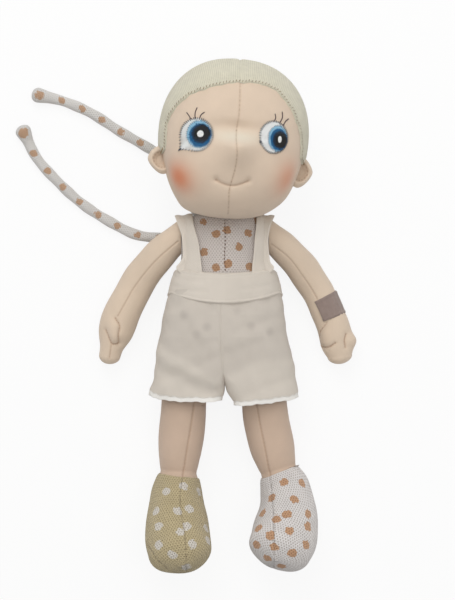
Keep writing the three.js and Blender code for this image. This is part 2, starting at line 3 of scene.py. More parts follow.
import bmesh
import bpy
import numpy as np
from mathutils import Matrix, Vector


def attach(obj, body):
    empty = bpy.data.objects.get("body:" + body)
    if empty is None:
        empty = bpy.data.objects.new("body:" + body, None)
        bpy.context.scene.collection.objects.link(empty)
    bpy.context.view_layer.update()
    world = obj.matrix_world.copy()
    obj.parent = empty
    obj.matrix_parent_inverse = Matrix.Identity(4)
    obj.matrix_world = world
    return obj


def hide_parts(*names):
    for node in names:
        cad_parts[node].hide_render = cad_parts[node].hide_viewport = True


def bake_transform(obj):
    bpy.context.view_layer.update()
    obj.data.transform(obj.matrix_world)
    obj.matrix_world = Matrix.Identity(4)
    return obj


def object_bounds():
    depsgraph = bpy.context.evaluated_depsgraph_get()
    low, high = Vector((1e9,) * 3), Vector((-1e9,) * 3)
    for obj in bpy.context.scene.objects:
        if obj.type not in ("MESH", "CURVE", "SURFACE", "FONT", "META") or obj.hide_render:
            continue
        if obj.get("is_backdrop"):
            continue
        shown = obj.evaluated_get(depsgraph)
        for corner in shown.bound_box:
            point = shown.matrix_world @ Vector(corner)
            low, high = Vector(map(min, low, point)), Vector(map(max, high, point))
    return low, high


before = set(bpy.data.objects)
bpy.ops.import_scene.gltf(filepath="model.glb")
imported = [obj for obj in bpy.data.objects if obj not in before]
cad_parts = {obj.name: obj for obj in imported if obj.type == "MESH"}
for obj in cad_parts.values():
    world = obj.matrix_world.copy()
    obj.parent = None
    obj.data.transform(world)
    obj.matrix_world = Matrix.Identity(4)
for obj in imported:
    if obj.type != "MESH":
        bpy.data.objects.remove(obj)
cad_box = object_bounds()

# The doll lies on its back on a pale table. The camera hangs straight above it, and a wide soft lamp
# stands beyond its head, so that the chin, the shorts and the feet are a little darker than the crown.
CAMERA_PLACE = (0.0017, -0.0102, 1.525)
ROOM_LIGHT = 0.55
TABLE_SIZE = 12
TABLE_DROP = 0.0004
TABLE_COLOUR = (240, 240, 239)
TABLE_GLOW = 0.88
scene = bpy.context.scene
scene.view_settings.view_transform = "Standard"
camera = bpy.data.objects.new("camera", bpy.data.cameras.new("camera"))
camera.location = CAMERA_PLACE
camera.data.lens = 132.35
camera.data.sensor_width = 36
scene.collection.objects.link(camera)
scene.camera = camera


def srgb(red, green, blue):
    """A colour as it is seen on a screen, 0 to 255, as a linear one."""
    parts = [v / 255 for v in (red, green, blue)]
    return (*[v / 12.92 if v < 0.04045 else ((v + 0.055) / 1.055) ** 2.4 for v in parts], 1)


def node(tree, kind, inputs=None, **settings):
    """A new node with its settings, whose inputs are values or other nodes' outputs."""
    made = tree.nodes.new(kind)
    for name, value in settings.items():
        setattr(made, name, value)
    for name, value in (inputs or {}).items():
        if isinstance(value, bpy.types.NodeSocket):
            tree.links.new(value, made.inputs[name])
        else:
            made.inputs[name].default_value = value
    return made


def calc(tree, operation, first, second=0.0, third=0.0):
    """One step of arithmetic in a material."""
    return node(tree, "ShaderNodeMath", {0: first, 1: second, 2: third}, operation=operation).outputs[0]


def new_finish(name):
    """A new material, its node tree and its shader."""
    made = bpy.data.materials.new(name)
    made.use_nodes = True
    return made, made.node_tree, made.node_tree.nodes["Principled BSDF"]


def lamp(name, place, aim, size, power):
    """A round soft lamp that is turned towards a place."""
    data = bpy.data.lights.new(name, "AREA")
    data.shape = "DISK"
    data.size = size
    data.energy = power
    made = bpy.data.objects.new(name, data)
    made.location = place
    made.rotation_euler = (Vector(aim) - Vector(place)).to_track_quat("-Z", "Y").to_euler()
    scene.collection.objects.link(made)


lamp("head_lamp", place=(-0.18, 0.7, 0.82), aim=(0, 0.06, 0.02), size=0.65, power=4.0)
lamp("front_lamp", place=(0.35, 0.15, 1.4), aim=(0, 0.02, 0.02), size=1.1, power=4.2)
world = bpy.data.worlds.new("room")
world.use_nodes = True
room = world.node_tree.nodes["Background"].inputs
room["Color"].default_value = (1, 1, 1, 1)
room["Strength"].default_value = ROOM_LIGHT
scene.world = world

bpy.ops.mesh.primitive_plane_add(size=TABLE_SIZE, location=(0, 0, -TABLE_DROP))
table = bpy.context.object
table.name = "table"
table_paint, tree, paint = new_finish("pale_table")
grain = node(tree, "ShaderNodeTexNoise", {"Scale": 900.0})
texture = node(tree, "ShaderNodeBump", {"Height": grain.outputs["Fac"], "Strength": 0.02})
paint.inputs["Base Color"].default_value = srgb(*TABLE_COLOUR)
paint.inputs["Roughness"].default_value = 0.8
tree.links.new(texture.outputs["Normal"], paint.inputs["Normal"])
glow = node(tree, "ShaderNodeEmission", {"Color": (1, 1, 1, 1), "Strength": 1.0})
ray = node(tree, "ShaderNodeLightPath").outputs
mirrored = calc(tree, "MAXIMUM", ray["Is Glossy Ray"], ray["Is Transmission Ray"])
seen = calc(tree, "MAXIMUM", ray["Is Camera Ray"], mirrored)
share = calc(tree, "MULTIPLY", seen, TABLE_GLOW)
backdrop = node(tree, "ShaderNodeMixShader", {0: share, 1: paint.outputs[0], 2: glow.outputs[0]})
tree.links.new(backdrop.outputs[0], tree.nodes["Material Output"].inputs["Surface"])
table.data.materials.append(table_paint)
table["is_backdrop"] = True

# Ties: two thin stuffed tubes of spotted knit with round tips, sewn to the middle of the upper back.
# They lie loose on the table, one out past the ear and one out under the arm.
MM = 0.001
TABLE_GAP = 0.05
TIE_RADIUS = 3.5
TIE_TIP_RADIUS = 5.3
TIE_TIP_LENGTH = TIE_TIP_RADIUS * 0.8
TIE_ROWS = 240
TIE_TIP_ROWS = 10
TIE_AROUND = 28
TIE_DOT_PITCH = 15.4
TIE_DOT_RADIUS = 2.5
TIE_DOT_SIDES = (90, 215, 325)
TIE_WHITE = (220, 217, 213)
TIE_TAN = (190, 150, 116)
TIE_KNIT = {"Wale": 0.0017, "Course": 0.0014}
TIE_ROUTES = {
    "tie_upper": [
        (-5, 40, 10.6), (-15, 46, 5.2), (-25.5, 59.5, 3.5), (-33.5, 73.5, 3.5), (-42.5, 87.5, 3.5),
        (-56, 96.5, 3.5), (-72.5, 106, 3.5), (-93, 119, 3.5), (-112, 127, 3.5), (-129, 131, 3.5),
    ],
    "tie_lower": [
        (-5, 30, 7.6), (-16, 30.5, 3.7), (-33, 32, 3.5), (-60, 34.5, 3.5), (-79, 43.5, 3.5),
        (-99, 56.5, 3.5), (-116, 72, 3.5), (-130, 88, 3.5), (-139, 106, 3.5),
    ],
}


def unit(vectors):
    """Directions of length 1."""
    return vectors / np.maximum(np.linalg.norm(vectors, axis=-1), 1e-9)[..., None]


def run_along(points):
    """How far along a line of points each of them is."""
    return np.concatenate([[0], np.cumsum(np.linalg.norm(np.diff(points, axis=0), axis=1))])


def off_table(points, lowest=TABLE_GAP):
    """Presses points flat where they would go into the table."""
    points[..., 2] = np.maximum(points[..., 2], lowest)


def smooth_line(points, count, power=0.5):
    """Points on a smooth curve through the given ones. Power 0 spaces the knots evenly."""
    p = np.asarray(points, float)
    p = np.vstack([2 * p[0] - p[1], p, 2 * p[-1] - p[-2]])
    along = np.linspace(0, len(points) - 1, count)
    i = np.minimum(along.astype(int), len(points) - 2)
    w = (along - i)[:, None]
    p0, p1, p2, p3 = knots = p[i], p[i + 1], p[i + 2], p[i + 3]
    apart = [np.linalg.norm(b - a, axis=1)[:, None] for a, b in zip(knots, knots[1:])]
    s0, s1, s2 = (np.maximum(v, 1e-6) ** power for v in apart)
    t1 = ((p1 - p0) / s0 - (p2 - p0) / (s0 + s1) + (p2 - p1) / s1) * s1
    t2 = ((p2 - p1) / s1 - (p3 - p1) / (s1 + s2) + (p3 - p2) / s2) * s1
    return p1 + t1 * w + (3 * (p2 - p1) - 2 * t1 - t2) * w**2 + (2 * (p1 - p2) + t1 + t2) * w**3


def soft_step(value, low, high):
    """0 up to the low value and 1 from the high one, with a soft rise between."""
    t = np.clip((value - low) / (high - low), 0, 1)
    return t * t * (3 - 2 * t)


def hump(distance, width):
    """1 in the middle, and soon nothing beyond the width."""
    return np.exp(-((distance / width) ** 2))


def bulge(share, fullness):
    """A sine or cosine made fuller, so that a round section becomes a squarish one."""
    return np.sign(share) * np.abs(share) ** (2 / fullness)


def rings_along(spine, wide, deep, around, fullness=2.0, start_dome=0.0, end_dome=0.0, dome_rows=10):
    """Rings of a stuffed tube round a spine, in mm, with a dome at an end that has one. The first point of a
    ring is on its side, and the next ones go over its front."""
    tangent = unit(np.gradient(spine, axis=0))
    dome = np.radians(np.linspace(86, 86 / dome_rows, dome_rows))
    if start_dome:
        spine = np.vstack([spine[0] - np.outer(start_dome * np.sin(dome), tangent[0]), spine])
        wide, deep = (np.concatenate([v[0] * np.cos(dome), v]) for v in (wide, deep))
        tangent = np.vstack([np.repeat(tangent[:1], dome_rows, 0), tangent])
    if end_dome:
        dome = dome[::-1]
        spine = np.vstack([spine, spine[-1] + np.outer(end_dome * np.sin(dome), tangent[-1])])
        wide, deep = (np.concatenate([v, v[-1] * np.cos(dome)]) for v in (wide, deep))
        tangent = np.vstack([tangent, np.repeat(tangent[-1:], dome_rows, 0)])
    front = unit(np.array([0, 0, 1.0]) - tangent * tangent[:, 2:])
    side = np.cross(front, tangent)
    turn = 2 * np.pi * np.arange(around) / around
    across, up = bulge(np.cos(turn), fullness), bulge(np.sin(turn), fullness)
    return (
        spine[:, None]
        + side[:, None] * (wide[:, None] * across)[..., None]
        + front[:, None] * (deep[:, None] * up)[..., None]
    )


def outward(rings, wrap=True):
    """The outward direction at each point of a grid of rings."""
    if wrap:
        over = np.roll(rings, -1, 1) - np.roll(rings, 1, 1)
    else:
        over = np.gradient(rings, axis=1)
    return unit(np.cross(over, np.gradient(rings, axis=0)))


def sewn_piece(name, rings, material, start=None, end=None, wrap=True, marks=None, front=0.25):
    """A cloth surface over a grid of points in mm. Start and end are the points that close its ends,
    and marks are values at the points that the material reads. Its UV map is in metres, along and across the
    cloth, and is truest at its front, given as a share of the way round."""
    rows, columns = rings.shape[:2]
    points = [rings.reshape(-1, 3)]
    width = np.linalg.norm(np.diff(rings, axis=1), axis=2).mean(1)
    middle = round(front * columns)
    seen = rings[:, middle - columns // 16: middle + columns // 16 + 1]
    v = np.concatenate([[0], np.cumsum(np.linalg.norm(np.diff(seen, axis=0), axis=2).mean(1))])
    k = np.arange(columns if wrap else columns - 1)
    aside = (k - middle + columns // 2) % columns - columns // 2 if wrap else k
    following = (k + 1) % columns
    row = np.arange(rows - 1)[:, None] * columns
    corners = [row + k, row + following, row + columns + following, row + columns + k]
    faces = np.stack(corners, -1).reshape(-1, 4).tolist()
    j = np.repeat(np.arange(rows - 1), len(k))
    kk = np.tile(k, rows - 1)
    steps = ((0, 0), (1, 0), (1, 1), (0, 1))
    laid = [np.stack([(aside[kk] + a) * width[j + b], v[j + b]], -1) for a, b in steps]
    coordinates = [np.stack(laid, 1)]
    for pole, ring, at in ((start, 0, 0), (end, rows - 1, -1)):
        if pole is None:
            continue
        index = sum(len(p) for p in points)
        points.append(np.asarray([pole], float))
        a, b = (k, following) if at else (following, k)
        faces += np.stack([ring * columns + a, ring * columns + b, np.full(len(k), index)], -1).tolist()
        corner = np.stack([aside * width[at], np.full(len(k), v[at])], -1)
        coordinates.append(np.stack([corner, corner, corner], 1))
    mesh = bpy.data.meshes.new(name)
    mesh.from_pydata((np.vstack(points) * MM).tolist(), [], faces)
    flat = np.concatenate([c.reshape(-1, 2) for c in coordinates]) * MM
    mesh.uv_layers.new(name="cloth").data.foreach_set("uv", flat.astype(np.float32).ravel())
    for mark, value in (marks or {}).items():
        filled = np.zeros(len(mesh.vertices), np.float32)
        filled[: rows * columns] = np.asarray(value).ravel()
        filled[rows * columns:] = np.asarray(value).ravel()[-1]
        mesh.attributes.new(mark, "FLOAT", "POINT").data.foreach_set("value", filled)
    mesh.polygons.foreach_set("use_smooth", np.ones(len(mesh.polygons), bool))
    mesh.materials.append(material)
    made = bpy.data.objects.new(name, mesh)
    scene.collection.objects.link(made)
    return made


def stuffed(name, rings, material, marks=None):
    """A cloth surface that is closed at both ends."""
    return sewn_piece(name, rings, material, rings[0].mean(0), rings[-1].mean(0), marks=marks)


def shader_group(name, inputs, outputs):
    """A new group for materials with plain number sockets, its inputs and its outputs."""
    group = bpy.data.node_groups.new(name, "ShaderNodeTree")
    for socket, value in inputs.items():
        made = group.interface.new_socket(socket, in_out="INPUT", socket_type="NodeSocketFloat")
        made.default_value = value
    for socket in outputs:
        group.interface.new_socket(socket, in_out="OUTPUT", socket_type="NodeSocketFloat")
    return group, group.nodes.new("NodeGroupInput").outputs, group.nodes.new("NodeGroupOutput").inputs


def ramp(tree, value, low, high, first=0.0, last=1.0):
    """A soft ramp from one value to another."""
    inputs = {0: value, 1: low, 2: high, 3: first, 4: last}
    return node(tree, "ShaderNodeMapRange", inputs, interpolation_type="SMOOTHSTEP").outputs[0]


def thread_round(tree, value):
    """Round threads side by side: a half wave over each step of a value."""
    return calc(tree, "SINE", calc(tree, "MULTIPLY", calc(tree, "FRACT", value), math.pi))


def off_middle(tree, value):
    """How far a value is from the middle of its step."""
    return calc(tree, "ABSOLUTE", calc(tree, "MULTIPLY_ADD", calc(tree, "FRACT", value), 2.0, -1.0))


def knit_group():
    """Knit stitches along the UV map: the height of their V-shaped legs, the holes between the loops, in rows
    that are staggered or stand in ribs, and a number of its own for each stitch."""
    group, given, put = shader_group(
        "knit_stitches", {"Wale": 0.0018, "Course": 0.0015, "Stagger": 0.5}, ["Height", "Gap", "Stitch"]
    )
    uv = node(group, "ShaderNodeSeparateXYZ", {0: node(group, "ShaderNodeUVMap").outputs[0]}).outputs
    wale = calc(group, "DIVIDE", uv[0], given["Wale"])
    course = calc(group, "DIVIDE", uv[1], given["Course"])
    loop = thread_round(group, calc(group, "MULTIPLY_ADD", off_middle(group, wale), 0.8, course))
    leg = thread_round(group, calc(group, "MULTIPLY", wale, 2.0))
    round_loop = calc(group, "MULTIPLY_ADD", loop, 0.75, 0.25)
    height = calc(group, "MULTIPLY", round_loop, calc(group, "MULTIPLY_ADD", leg, 0.7, 0.3))
    row = calc(group, "FLOOR", course)
    stagger = calc(group, "MULTIPLY", calc(group, "MODULO", row, 2.0), given["Stagger"])
    shifted = calc(group, "ADD", wale, stagger)
    hole = calc(group, "MULTIPLY", off_middle(group, shifted), thread_round(group, course))
    gap = ramp(group, hole, 0.3, 0.8)
    cell = node(group, "ShaderNodeCombineXYZ", {0: calc(group, "FLOOR", shifted), 1: row})
    stitch = node(group, "ShaderNodeTexWhiteNoise", {"Vector": cell.outputs[0]}, noise_dimensions="2D")
    group.links.new(calc(group, "MULTIPLY_ADD", gap, -0.6, height), put["Height"])
    group.links.new(gap, put["Gap"])
    group.links.new(stitch.outputs["Value"], put["Stitch"])
    return group


def dye_group():
    """Cloudy unevenness of dye and wear over a cloth, and the fuzz of its fibres."""
    group, given, put = shader_group("uneven_dye", {"Patch": 0.02}, ["Shade", "Fuzz"])
    where = node(group, "ShaderNodeTexCoord").outputs["Object"]
    scale = calc(group, "DIVIDE", 1.0, given["Patch"])
    patches = node(group, "ShaderNodeTexNoise", {"Vector": where, "Scale": scale, "Detail": 4.0})
    fuzz_inputs = {"Vector": where, "Scale": 2600.0, "Detail": 2.0, "Roughness": 0.7}
    fuzz = node(group, "ShaderNodeTexNoise", fuzz_inputs)
    group.links.new(patches.outputs["Fac"], put["Shade"])
    group.links.new(fuzz.outputs["Fac"], put["Fuzz"])
    return group


def spot_group():
    """A round spot knitted into the cloth: its mask from the distance to the nearest spot's middle, with an
    edge that steps from stitch to stitch."""
    spot_sizes = {"Distance": 1.0, "Radius": 0.0028, "Stitch": 0.0}
    group, given, put = shader_group("knitted_spots", spot_sizes, ["Mask"])
    nearer = calc(group, "SUBTRACT", given["Distance"], 0.0006)
    stepped = calc(group, "MULTIPLY_ADD", given["Stitch"], 0.0012, nearer)
    low = calc(group, "SUBTRACT", given["Radius"], 0.0002)
    high = calc(group, "ADD", given["Radius"], 0.0002)
    group.links.new(ramp(group, stepped, low, high, 1.0, 0.0), put["Mask"])
    return group


KNIT = knit_group()
DYE = dye_group()
SPOTS = spot_group()


def mixed(tree, share, first, second, blend="MIX"):
    """Two colours mixed by a share."""
    colours = {0: share, 6: first, 7: second}
    return node(tree, "ShaderNodeMix", colours, data_type="RGBA", blend_type=blend).outputs[2]


def dyed(tree, colour, patch, darkest, lightest):
    """A colour that varies in patches between two shares of itself, and the fuzz of its fibres."""
    dye = node(tree, "ShaderNodeGroup", {"Patch": patch}, node_tree=DYE)
    tones = [(*[min(1, v * share) for v in srgb(*colour)[:3]], 1) for share in (darkest, lightest)]
    return mixed(tree, dye.outputs["Shade"], *tones), dye.outputs["Fuzz"]


def cloth(name, colour, pattern, sizes, relief, gap_share=0.35, shade=0.12, patch=0.02, sheen=0.25, marks=()):
    """A cloth: its colour with uneven dye, darker gaps between its threads and their relief. Each mark is the
    name of a value on the mesh, the colour that it brings, its most, and a spot's radius where the value is a
    distance."""
    made, tree, finish = new_finish(name)
    weave = node(tree, "ShaderNodeGroup", sizes, node_tree=pattern).outputs
    base, fuzz = dyed(tree, colour, patch, 1 - shade, 1 + shade * 0.6)
    for mark, brought, most, radius in marks:
        value = node(tree, "ShaderNodeAttribute", attribute_name=mark).outputs["Fac"]
        if radius:
            spot = {"Distance": value, "Stitch": weave["Stitch"], "Radius": radius}
            value = node(tree, "ShaderNodeGroup", spot, node_tree=SPOTS).outputs["Mask"]
        base = mixed(tree, calc(tree, "MULTIPLY", value, most), base, srgb(*brought))
    dark_gap = calc(tree, "MULTIPLY", weave["Gap"], gap_share)
    base = mixed(tree, dark_gap, base, (0.42, 0.36, 0.31, 1), "MULTIPLY")
    height = calc(tree, "MULTIPLY_ADD", fuzz, 0.35, weave["Height"])
    bump = node(tree, "ShaderNodeBump", {"Height": height, "Distance": relief, "Strength": 0.9})
    rough = node(tree, "ShaderNodeMapRange", {0: fuzz, 3: 0.82, 4: 0.98})
    tree.links.new(base, finish.inputs["Base Color"])
    tree.links.new(rough.outputs[0], finish.inputs["Roughness"])
    tree.links.new(bump.outputs["Normal"], finish.inputs["Normal"])
    finish.inputs["Sheen Weight"].default_value = sheen
    finish.inputs["Sheen Roughness"].default_value = 0.55
    finish.inputs["Specular IOR Level"].default_value = 0.2
    return made


tie_dot = ("spot", TIE_TAN, 0.9, TIE_DOT_RADIUS * MM)
tie_knit = cloth("tie_knit", TIE_WHITE, KNIT, TIE_KNIT, 0.0003, gap_share=0.5, marks=[tie_dot])
for name, route in TIE_ROUTES.items():
    spine = smooth_line(route, TIE_ROWS)
    run = run_along(spine)
    left = run[-1] - run
    radius = TIE_RADIUS + (TIE_TIP_RADIUS - TIE_RADIUS) * hump(left, 6.5) + 0.18 * np.sin(run / 2.9)
    spine[:, 2] = np.where(run > 25, np.maximum(spine[:, 2], radius), spine[:, 2])
    rings = rings_along(spine, radius, radius, TIE_AROUND, end_dome=TIE_TIP_LENGTH, dome_rows=TIE_TIP_ROWS)
    off_table(rings)
    along = np.concatenate([left, -np.linspace(0.1, TIE_TIP_LENGTH, TIE_TIP_ROWS)])
    turn = 2 * np.pi * np.arange(TIE_AROUND) / TIE_AROUND
    distance = np.full(rings.shape[:2], 99.0)
    for rank, middle in enumerate(TIE_DOT_SIDES):
        aside = TIE_RADIUS * np.abs(np.angle(np.exp(1j * (turn - np.radians(middle)))))
        phase = (along - 1.5 - rank * TIE_DOT_PITCH / 3) / TIE_DOT_PITCH
        away = (phase - np.round(phase)) * TIE_DOT_PITCH
        distance = np.minimum(distance, np.hypot(away[:, None], aside[None]))
    tie = stuffed("knit_" + name, rings, tie_knit, {"spot": distance * MM})
    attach(tie, "torso")
    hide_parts(name)
    line = np.vstack([spine[::6], spine[-1:], [rings[-1].mean(0)]]) * MM

# Body: a bag of white knit with tan spots, stuffed firm, sewn down the middle of its front and flat along the
# hip seam, where the legs swing. The neck goes into its top.
TORSO_STATIONS = np.array([  # height along the body, middle, half width, half depth
    (-55.3, 21, 34.2, 1.4), (-49, 22, 36.1, 10.1), (-37, 25.1, 38, 20.7), (-19, 26.1, 37.2, 23.5),
    (0, 26.1, 34.5, 24.5), (16.5, 26.1, 29.9, 22.5), (33, 26.1, 30.5, 19.6), (39, 25.6, 29.4, 17.5),
    (43.2, 25.3, 27.5, 14.6), (45.2, 25.1, 24, 10.5), (46.6, 25.1, 18, 5), (47.2, 25.1, 14, 2.4),
])
TORSO_FULLNESS = 2.3
BODY_ROWS = 170
BODY_AROUND = 220
BODY_WHITE = (215, 206, 200)
BODY_KNIT = {"Wale": 0.0016, "Course": 0.0014}
TAN_SPOT = (176, 134, 98)
BODY_SPOT_RADIUS = 2.8
FRONT_SPOTS = [
    (-14, 42), (-6, 34), (1.4, 36.7), (15.4, 34.7), (9.4, 25.3), (-14, 21.9), (-6, 11.2), (2, 13.9),
    (16.8, 11.9), (21.4, 42.7), (-26.8, -20.2), (-36.1, -24.3), (-18.7, -33), (-30.1, -37), (17.4, -27.6),
    (29.5, -31.6), (17.4, -41.7), (8.1, -17.6), (-12, -28.3),
]
torso_line = np.hstack([
    smooth_line(np.insert(TORSO_STATIONS[:, :2], 0, 0, axis=1), BODY_ROWS)[:, 1:],
    smooth_line(TORSO_STATIONS[:, 2:], BODY_ROWS, power=0),
])


def body_half(y):
    """Middle, half width and half depth of the body at a height along it."""
    return [np.interp(y, torso_line[:, 0], torso_line[:, i]) for i in (1, 2, 3)]


def body_z(x, y, facing=1, roundest=0.985):
    """Where the front of the body is, or its back for -1. Roundest stops short of the turn of its side."""
    middle, wide, deep = body_half(y)
    share = np.clip(np.abs(x) / wide, 0, roundest)
    return middle + facing * deep * (1 - share**TORSO_FULLNESS) ** (1 / TORSO_FULLNESS)


def nearest(points, spots):
    """Distance of each point to the nearest of the spots."""
    flat = points.reshape(-1, 3)
    best = np.full(len(flat), 1e3)
    for spot in spots:
        best = np.minimum(best, np.linalg.norm(flat - spot, axis=1))
    return best.reshape(points.shape[:-1])


def lumps(points, high):
    """Gentle unevenness of a filling that was pushed in by hand."""
    x, y, z = np.moveaxis(np.asarray(points) / 5, -1, 0)
    waves = np.sin(x + 0.7 * y + 1) + np.sin(0.8 * y - 1.1 * z + 2) + np.sin(1.3 * x + 0.5 * z - 0.9 * y)
    return high * waves / 3


def line_tree(name, sizes):
    """The start of a tree that sews along lines: the group, its inputs, and the lines as curves."""
    group = bpy.data.node_groups.new(name, "GeometryNodeTree")
    for socket, kind in {"Line": "Geometry", **dict.fromkeys(sizes, "Float"), "Yarn": "Material"}.items():
        group.interface.new_socket(socket, in_out="INPUT", socket_type="NodeSocket" + kind)
    group.interface.new_socket("Sewn", in_out="OUTPUT", socket_type="NodeSocketGeometry")
    given = group.nodes.new("NodeGroupInput").outputs
    return group, given, node(group, "GeometryNodeMeshToCurve", {"Mesh": given["Line"]}).outputs[0]


def end_tree(group, given, sewn):
    """The end of such a tree: what was sewn becomes a plain mesh of the given yarn."""
    real = node(group, "GeometryNodeRealizeInstances", {"Geometry": sewn}).outputs[0]
    coloured = node(group, "GeometryNodeSetMaterial", {"Geometry": real, "Material": given["Yarn"]})
    group.links.new(coloured.outputs[0], group.nodes.new("NodeGroupOutput").inputs[0])
    return group


def stitch_tree():
    """Stitches along a line of thread: small beads of yarn that lie on the cloth and turn with the line."""
    group, given, line = line_tree("stitch_row", ("Pitch", "Length", "Thickness", "Slant"))
    pitch_inputs = {"Curve": line, "Length": given["Pitch"]}
    spaced = node(group, "GeometryNodeResampleCurve", pitch_inputs, mode="LENGTH")
    bead = node(group, "GeometryNodeMeshUVSphere", {"Segments": 6, "Rings": 5, "Radius": 0.5})
    soft = node(group, "GeometryNodeSetShadeSmooth", {"Geometry": bead.outputs[0]})
    tangent = node(group, "GeometryNodeInputTangent").outputs[0]
    along = node(group, "FunctionNodeAlignRotationToVector", {"Vector": tangent}, axis="X").outputs[0]
    up = node(group, "GeometryNodeInputNamedAttribute", {"Name": "up"}, data_type="FLOAT_VECTOR").outputs[0]
    upright = {"Rotation": along, "Vector": up}
    flat = node(group, "FunctionNodeAlignRotationToVector", upright, axis="Z", pivot_axis="X").outputs[0]
    slant = node(group, "ShaderNodeCombineXYZ", {"Z": given["Slant"]}).outputs[0]
    lean = node(group, "FunctionNodeEulerToRotation", {0: slant}).outputs[0]
    leaning = {"Rotation": flat, "Rotate By": lean}
    lying = node(group, "FunctionNodeRotateRotation", leaning, rotation_space="LOCAL").outputs[0]
    sizes = {0: given["Length"], 1: given["Thickness"], 2: given["Thickness"]}
    size = node(group, "ShaderNodeCombineXYZ", sizes).outputs[0]
    row = node(group, "GeometryNodeInstanceOnPoints", {
        "Points": spaced.outputs[0], "Instance": soft.outputs[0], "Rotation": lying, "Scale": size,
    })
    return end_tree(group, given, row.outputs[0])


def made_plain(piece):
    """Turns what a piece's modifiers make into its own plain mesh."""
    graph = bpy.context.evaluated_depsgraph_get()
    piece.data = bpy.data.meshes.new_from_object(piece.evaluated_get(graph))
    piece.modifiers.clear()


def grown_from(tree, name, lines, ups, values):
    """The plain mesh that a tree makes along lines of points in mm, with the way off the cloth at each."""
    mesh = bpy.data.meshes.new(name)
    edges = []
    count = 0
    for line in lines:
        edges += [(count + i, count + i + 1) for i in range(len(line) - 1)]
        count += len(line)
    mesh.from_pydata((np.vstack(lines) * MM).tolist(), edges, [])
    up = mesh.attributes.new("up", "FLOAT_VECTOR", "POINT")
    up.data.foreach_set("vector", np.vstack(ups).astype(np.float32).ravel())
    made = bpy.data.objects.new(name, mesh)
    scene.collection.objects.link(made)
    grower = made.modifiers.new("sewing", "NODES")
    grower.node_group = tree
    for item in tree.interface.items_tree:
        if item.in_out == "INPUT" and item.name in values:
            grower[item.identifier] = values[item.name]
    made_plain(made)
    made.data.name = name
    return made


STITCHES = stitch_tree()


def stitched(name, lines, ups, yarn, pitch, length, thickness, slant):
    """Rows of stitches along lines, with sizes in mm and a slant in degrees."""
    sizes = {"Pitch": pitch * MM, "Length": length * MM, "Thickness": thickness * MM}
    return grown_from(STITCHES, name, lines, ups, {**sizes, "Slant": math.radians(slant), "Yarn": yarn})


def yarn_finish(name, colour):
    """Twisted sewing thread: a soft sheen, and fibres that vary in tone."""
    made, tree, finish = new_finish(name)
    base, fuzz = dyed(tree, colour, 0.0012, 0.78, 1.15)
    bump = node(tree, "ShaderNodeBump", {"Height": fuzz, "Distance": 0.00006, "Strength": 0.6})
    tree.links.new(base, finish.inputs["Base Color"])
    tree.links.new(bump.outputs["Normal"], finish.inputs["Normal"])
    finish.inputs["Roughness"].default_value = 0.55
    finish.inputs["Sheen Weight"].default_value = 0.2
    finish.inputs["Specular IOR Level"].default_value = 0.35
    return made


spine = np.column_stack([np.zeros(BODY_ROWS), torso_line[:, :2]])
rings = rings_along(spine, torso_line[:, 2], torso_line[:, 3], BODY_AROUND, TORSO_FULLNESS)
spots = [(x, y, body_z(x, y)) for x, y in FRONT_SPOTS]
for j, y in enumerate(np.arange(-46, 44, 13)):
    for x in np.arange(-30 + 9 * (j % 2), 34, 18):
        spots.append((x, y, body_z(x, y, -1)))
rings[..., 1] += 2.4 * hump(np.abs(rings[..., 0]) - 15, 8) * soft_step(rings[..., 1], 38, 46)
front_seam = hump(rings[..., 0], 0.8) * (rings[..., 2] > 30)
rings += outward(rings) * (-0.7 * front_seam * (1 + 0.35 * np.sin(rings[..., 1] * 2.6)))[..., None]
body_spot = ("spot", TAN_SPOT, 0.95, BODY_SPOT_RADIUS * MM)
body_knit = cloth("body_knit", BODY_WHITE, KNIT, BODY_KNIT, 0.0004, gap_share=0.55, marks=[body_spot])
body = stuffed("spotted_body", rings, body_knit, {"spot": nearest(rings, spots) * MM})
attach(body, "torso")
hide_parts("torso_cover", "torso_filling")
seam_y = np.linspace(10, 43, 60)
seam_x = 0.4 * np.sin(seam_y / 4)
seam_line = np.column_stack([seam_x, seam_y, body_z(seam_x, seam_y) - 0.05])
seam_up = np.tile([0.0, 0.0, 1.0], (len(seam_y), 1))
front_yarn = yarn_finish("front_seam_yarn", (104, 76, 58))
front_stitches = stitched("front_seam_stitches", [seam_line], [seam_up], front_yarn, 2.4, 1.7, 0.7, 24)
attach(front_stitches, "torso")

# Neck: a short stuffed stub of skin-coloured jersey, sewn into the top of the body and hidden by the jaw.
# The head sits on its round top.
NECK_RADIUS = 13
NECK_LENGTH = 14.5
NECK_ROWS = 40
NECK_PIVOT = np.array([0, 42.5, 26.1])
JERSEY_KNIT = {"Wale": 0.0007, "Course": 0.00055}
SKIN_TONE = (224, 204, 182)
# Dark thread along the seams; the same colour is also painted shade in the ears' hollows.
SEAM_AND_SHADE_MARK = ("seam", (150, 112, 84), 0.55, 0)


def jersey(name, tone, marks=()):
    """Fine skin-coloured knit, with its seams drawn in a darker thread. The same dark colour paints shade
    into the ears' hollows.
    """
    finish = {"gap_share": 0.2, "shade": 0.08, "patch": 0.012}
    return cloth(name, tone, KNIT, JERSEY_KNIT, 0.00006, **finish, marks=[*marks, SEAM_AND_SHADE_MARK])


skin = jersey("skin_jersey", SKIN_TONE)
along = np.linspace(-NECK_LENGTH, 0, NECK_ROWS)
spine = NECK_PIVOT + np.column_stack([0 * along, along, 0 * along])
radius = NECK_RADIUS - 0.8 - 0.4 * hump(along + 4, 3)
rings = rings_along(spine, radius, radius, 64, end_dome=NECK_RADIUS - 0.2, dome_rows=16)
neck = stuffed("neck_stub_cloth", rings, skin)
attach(neck, "neck")
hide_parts("neck_stub")

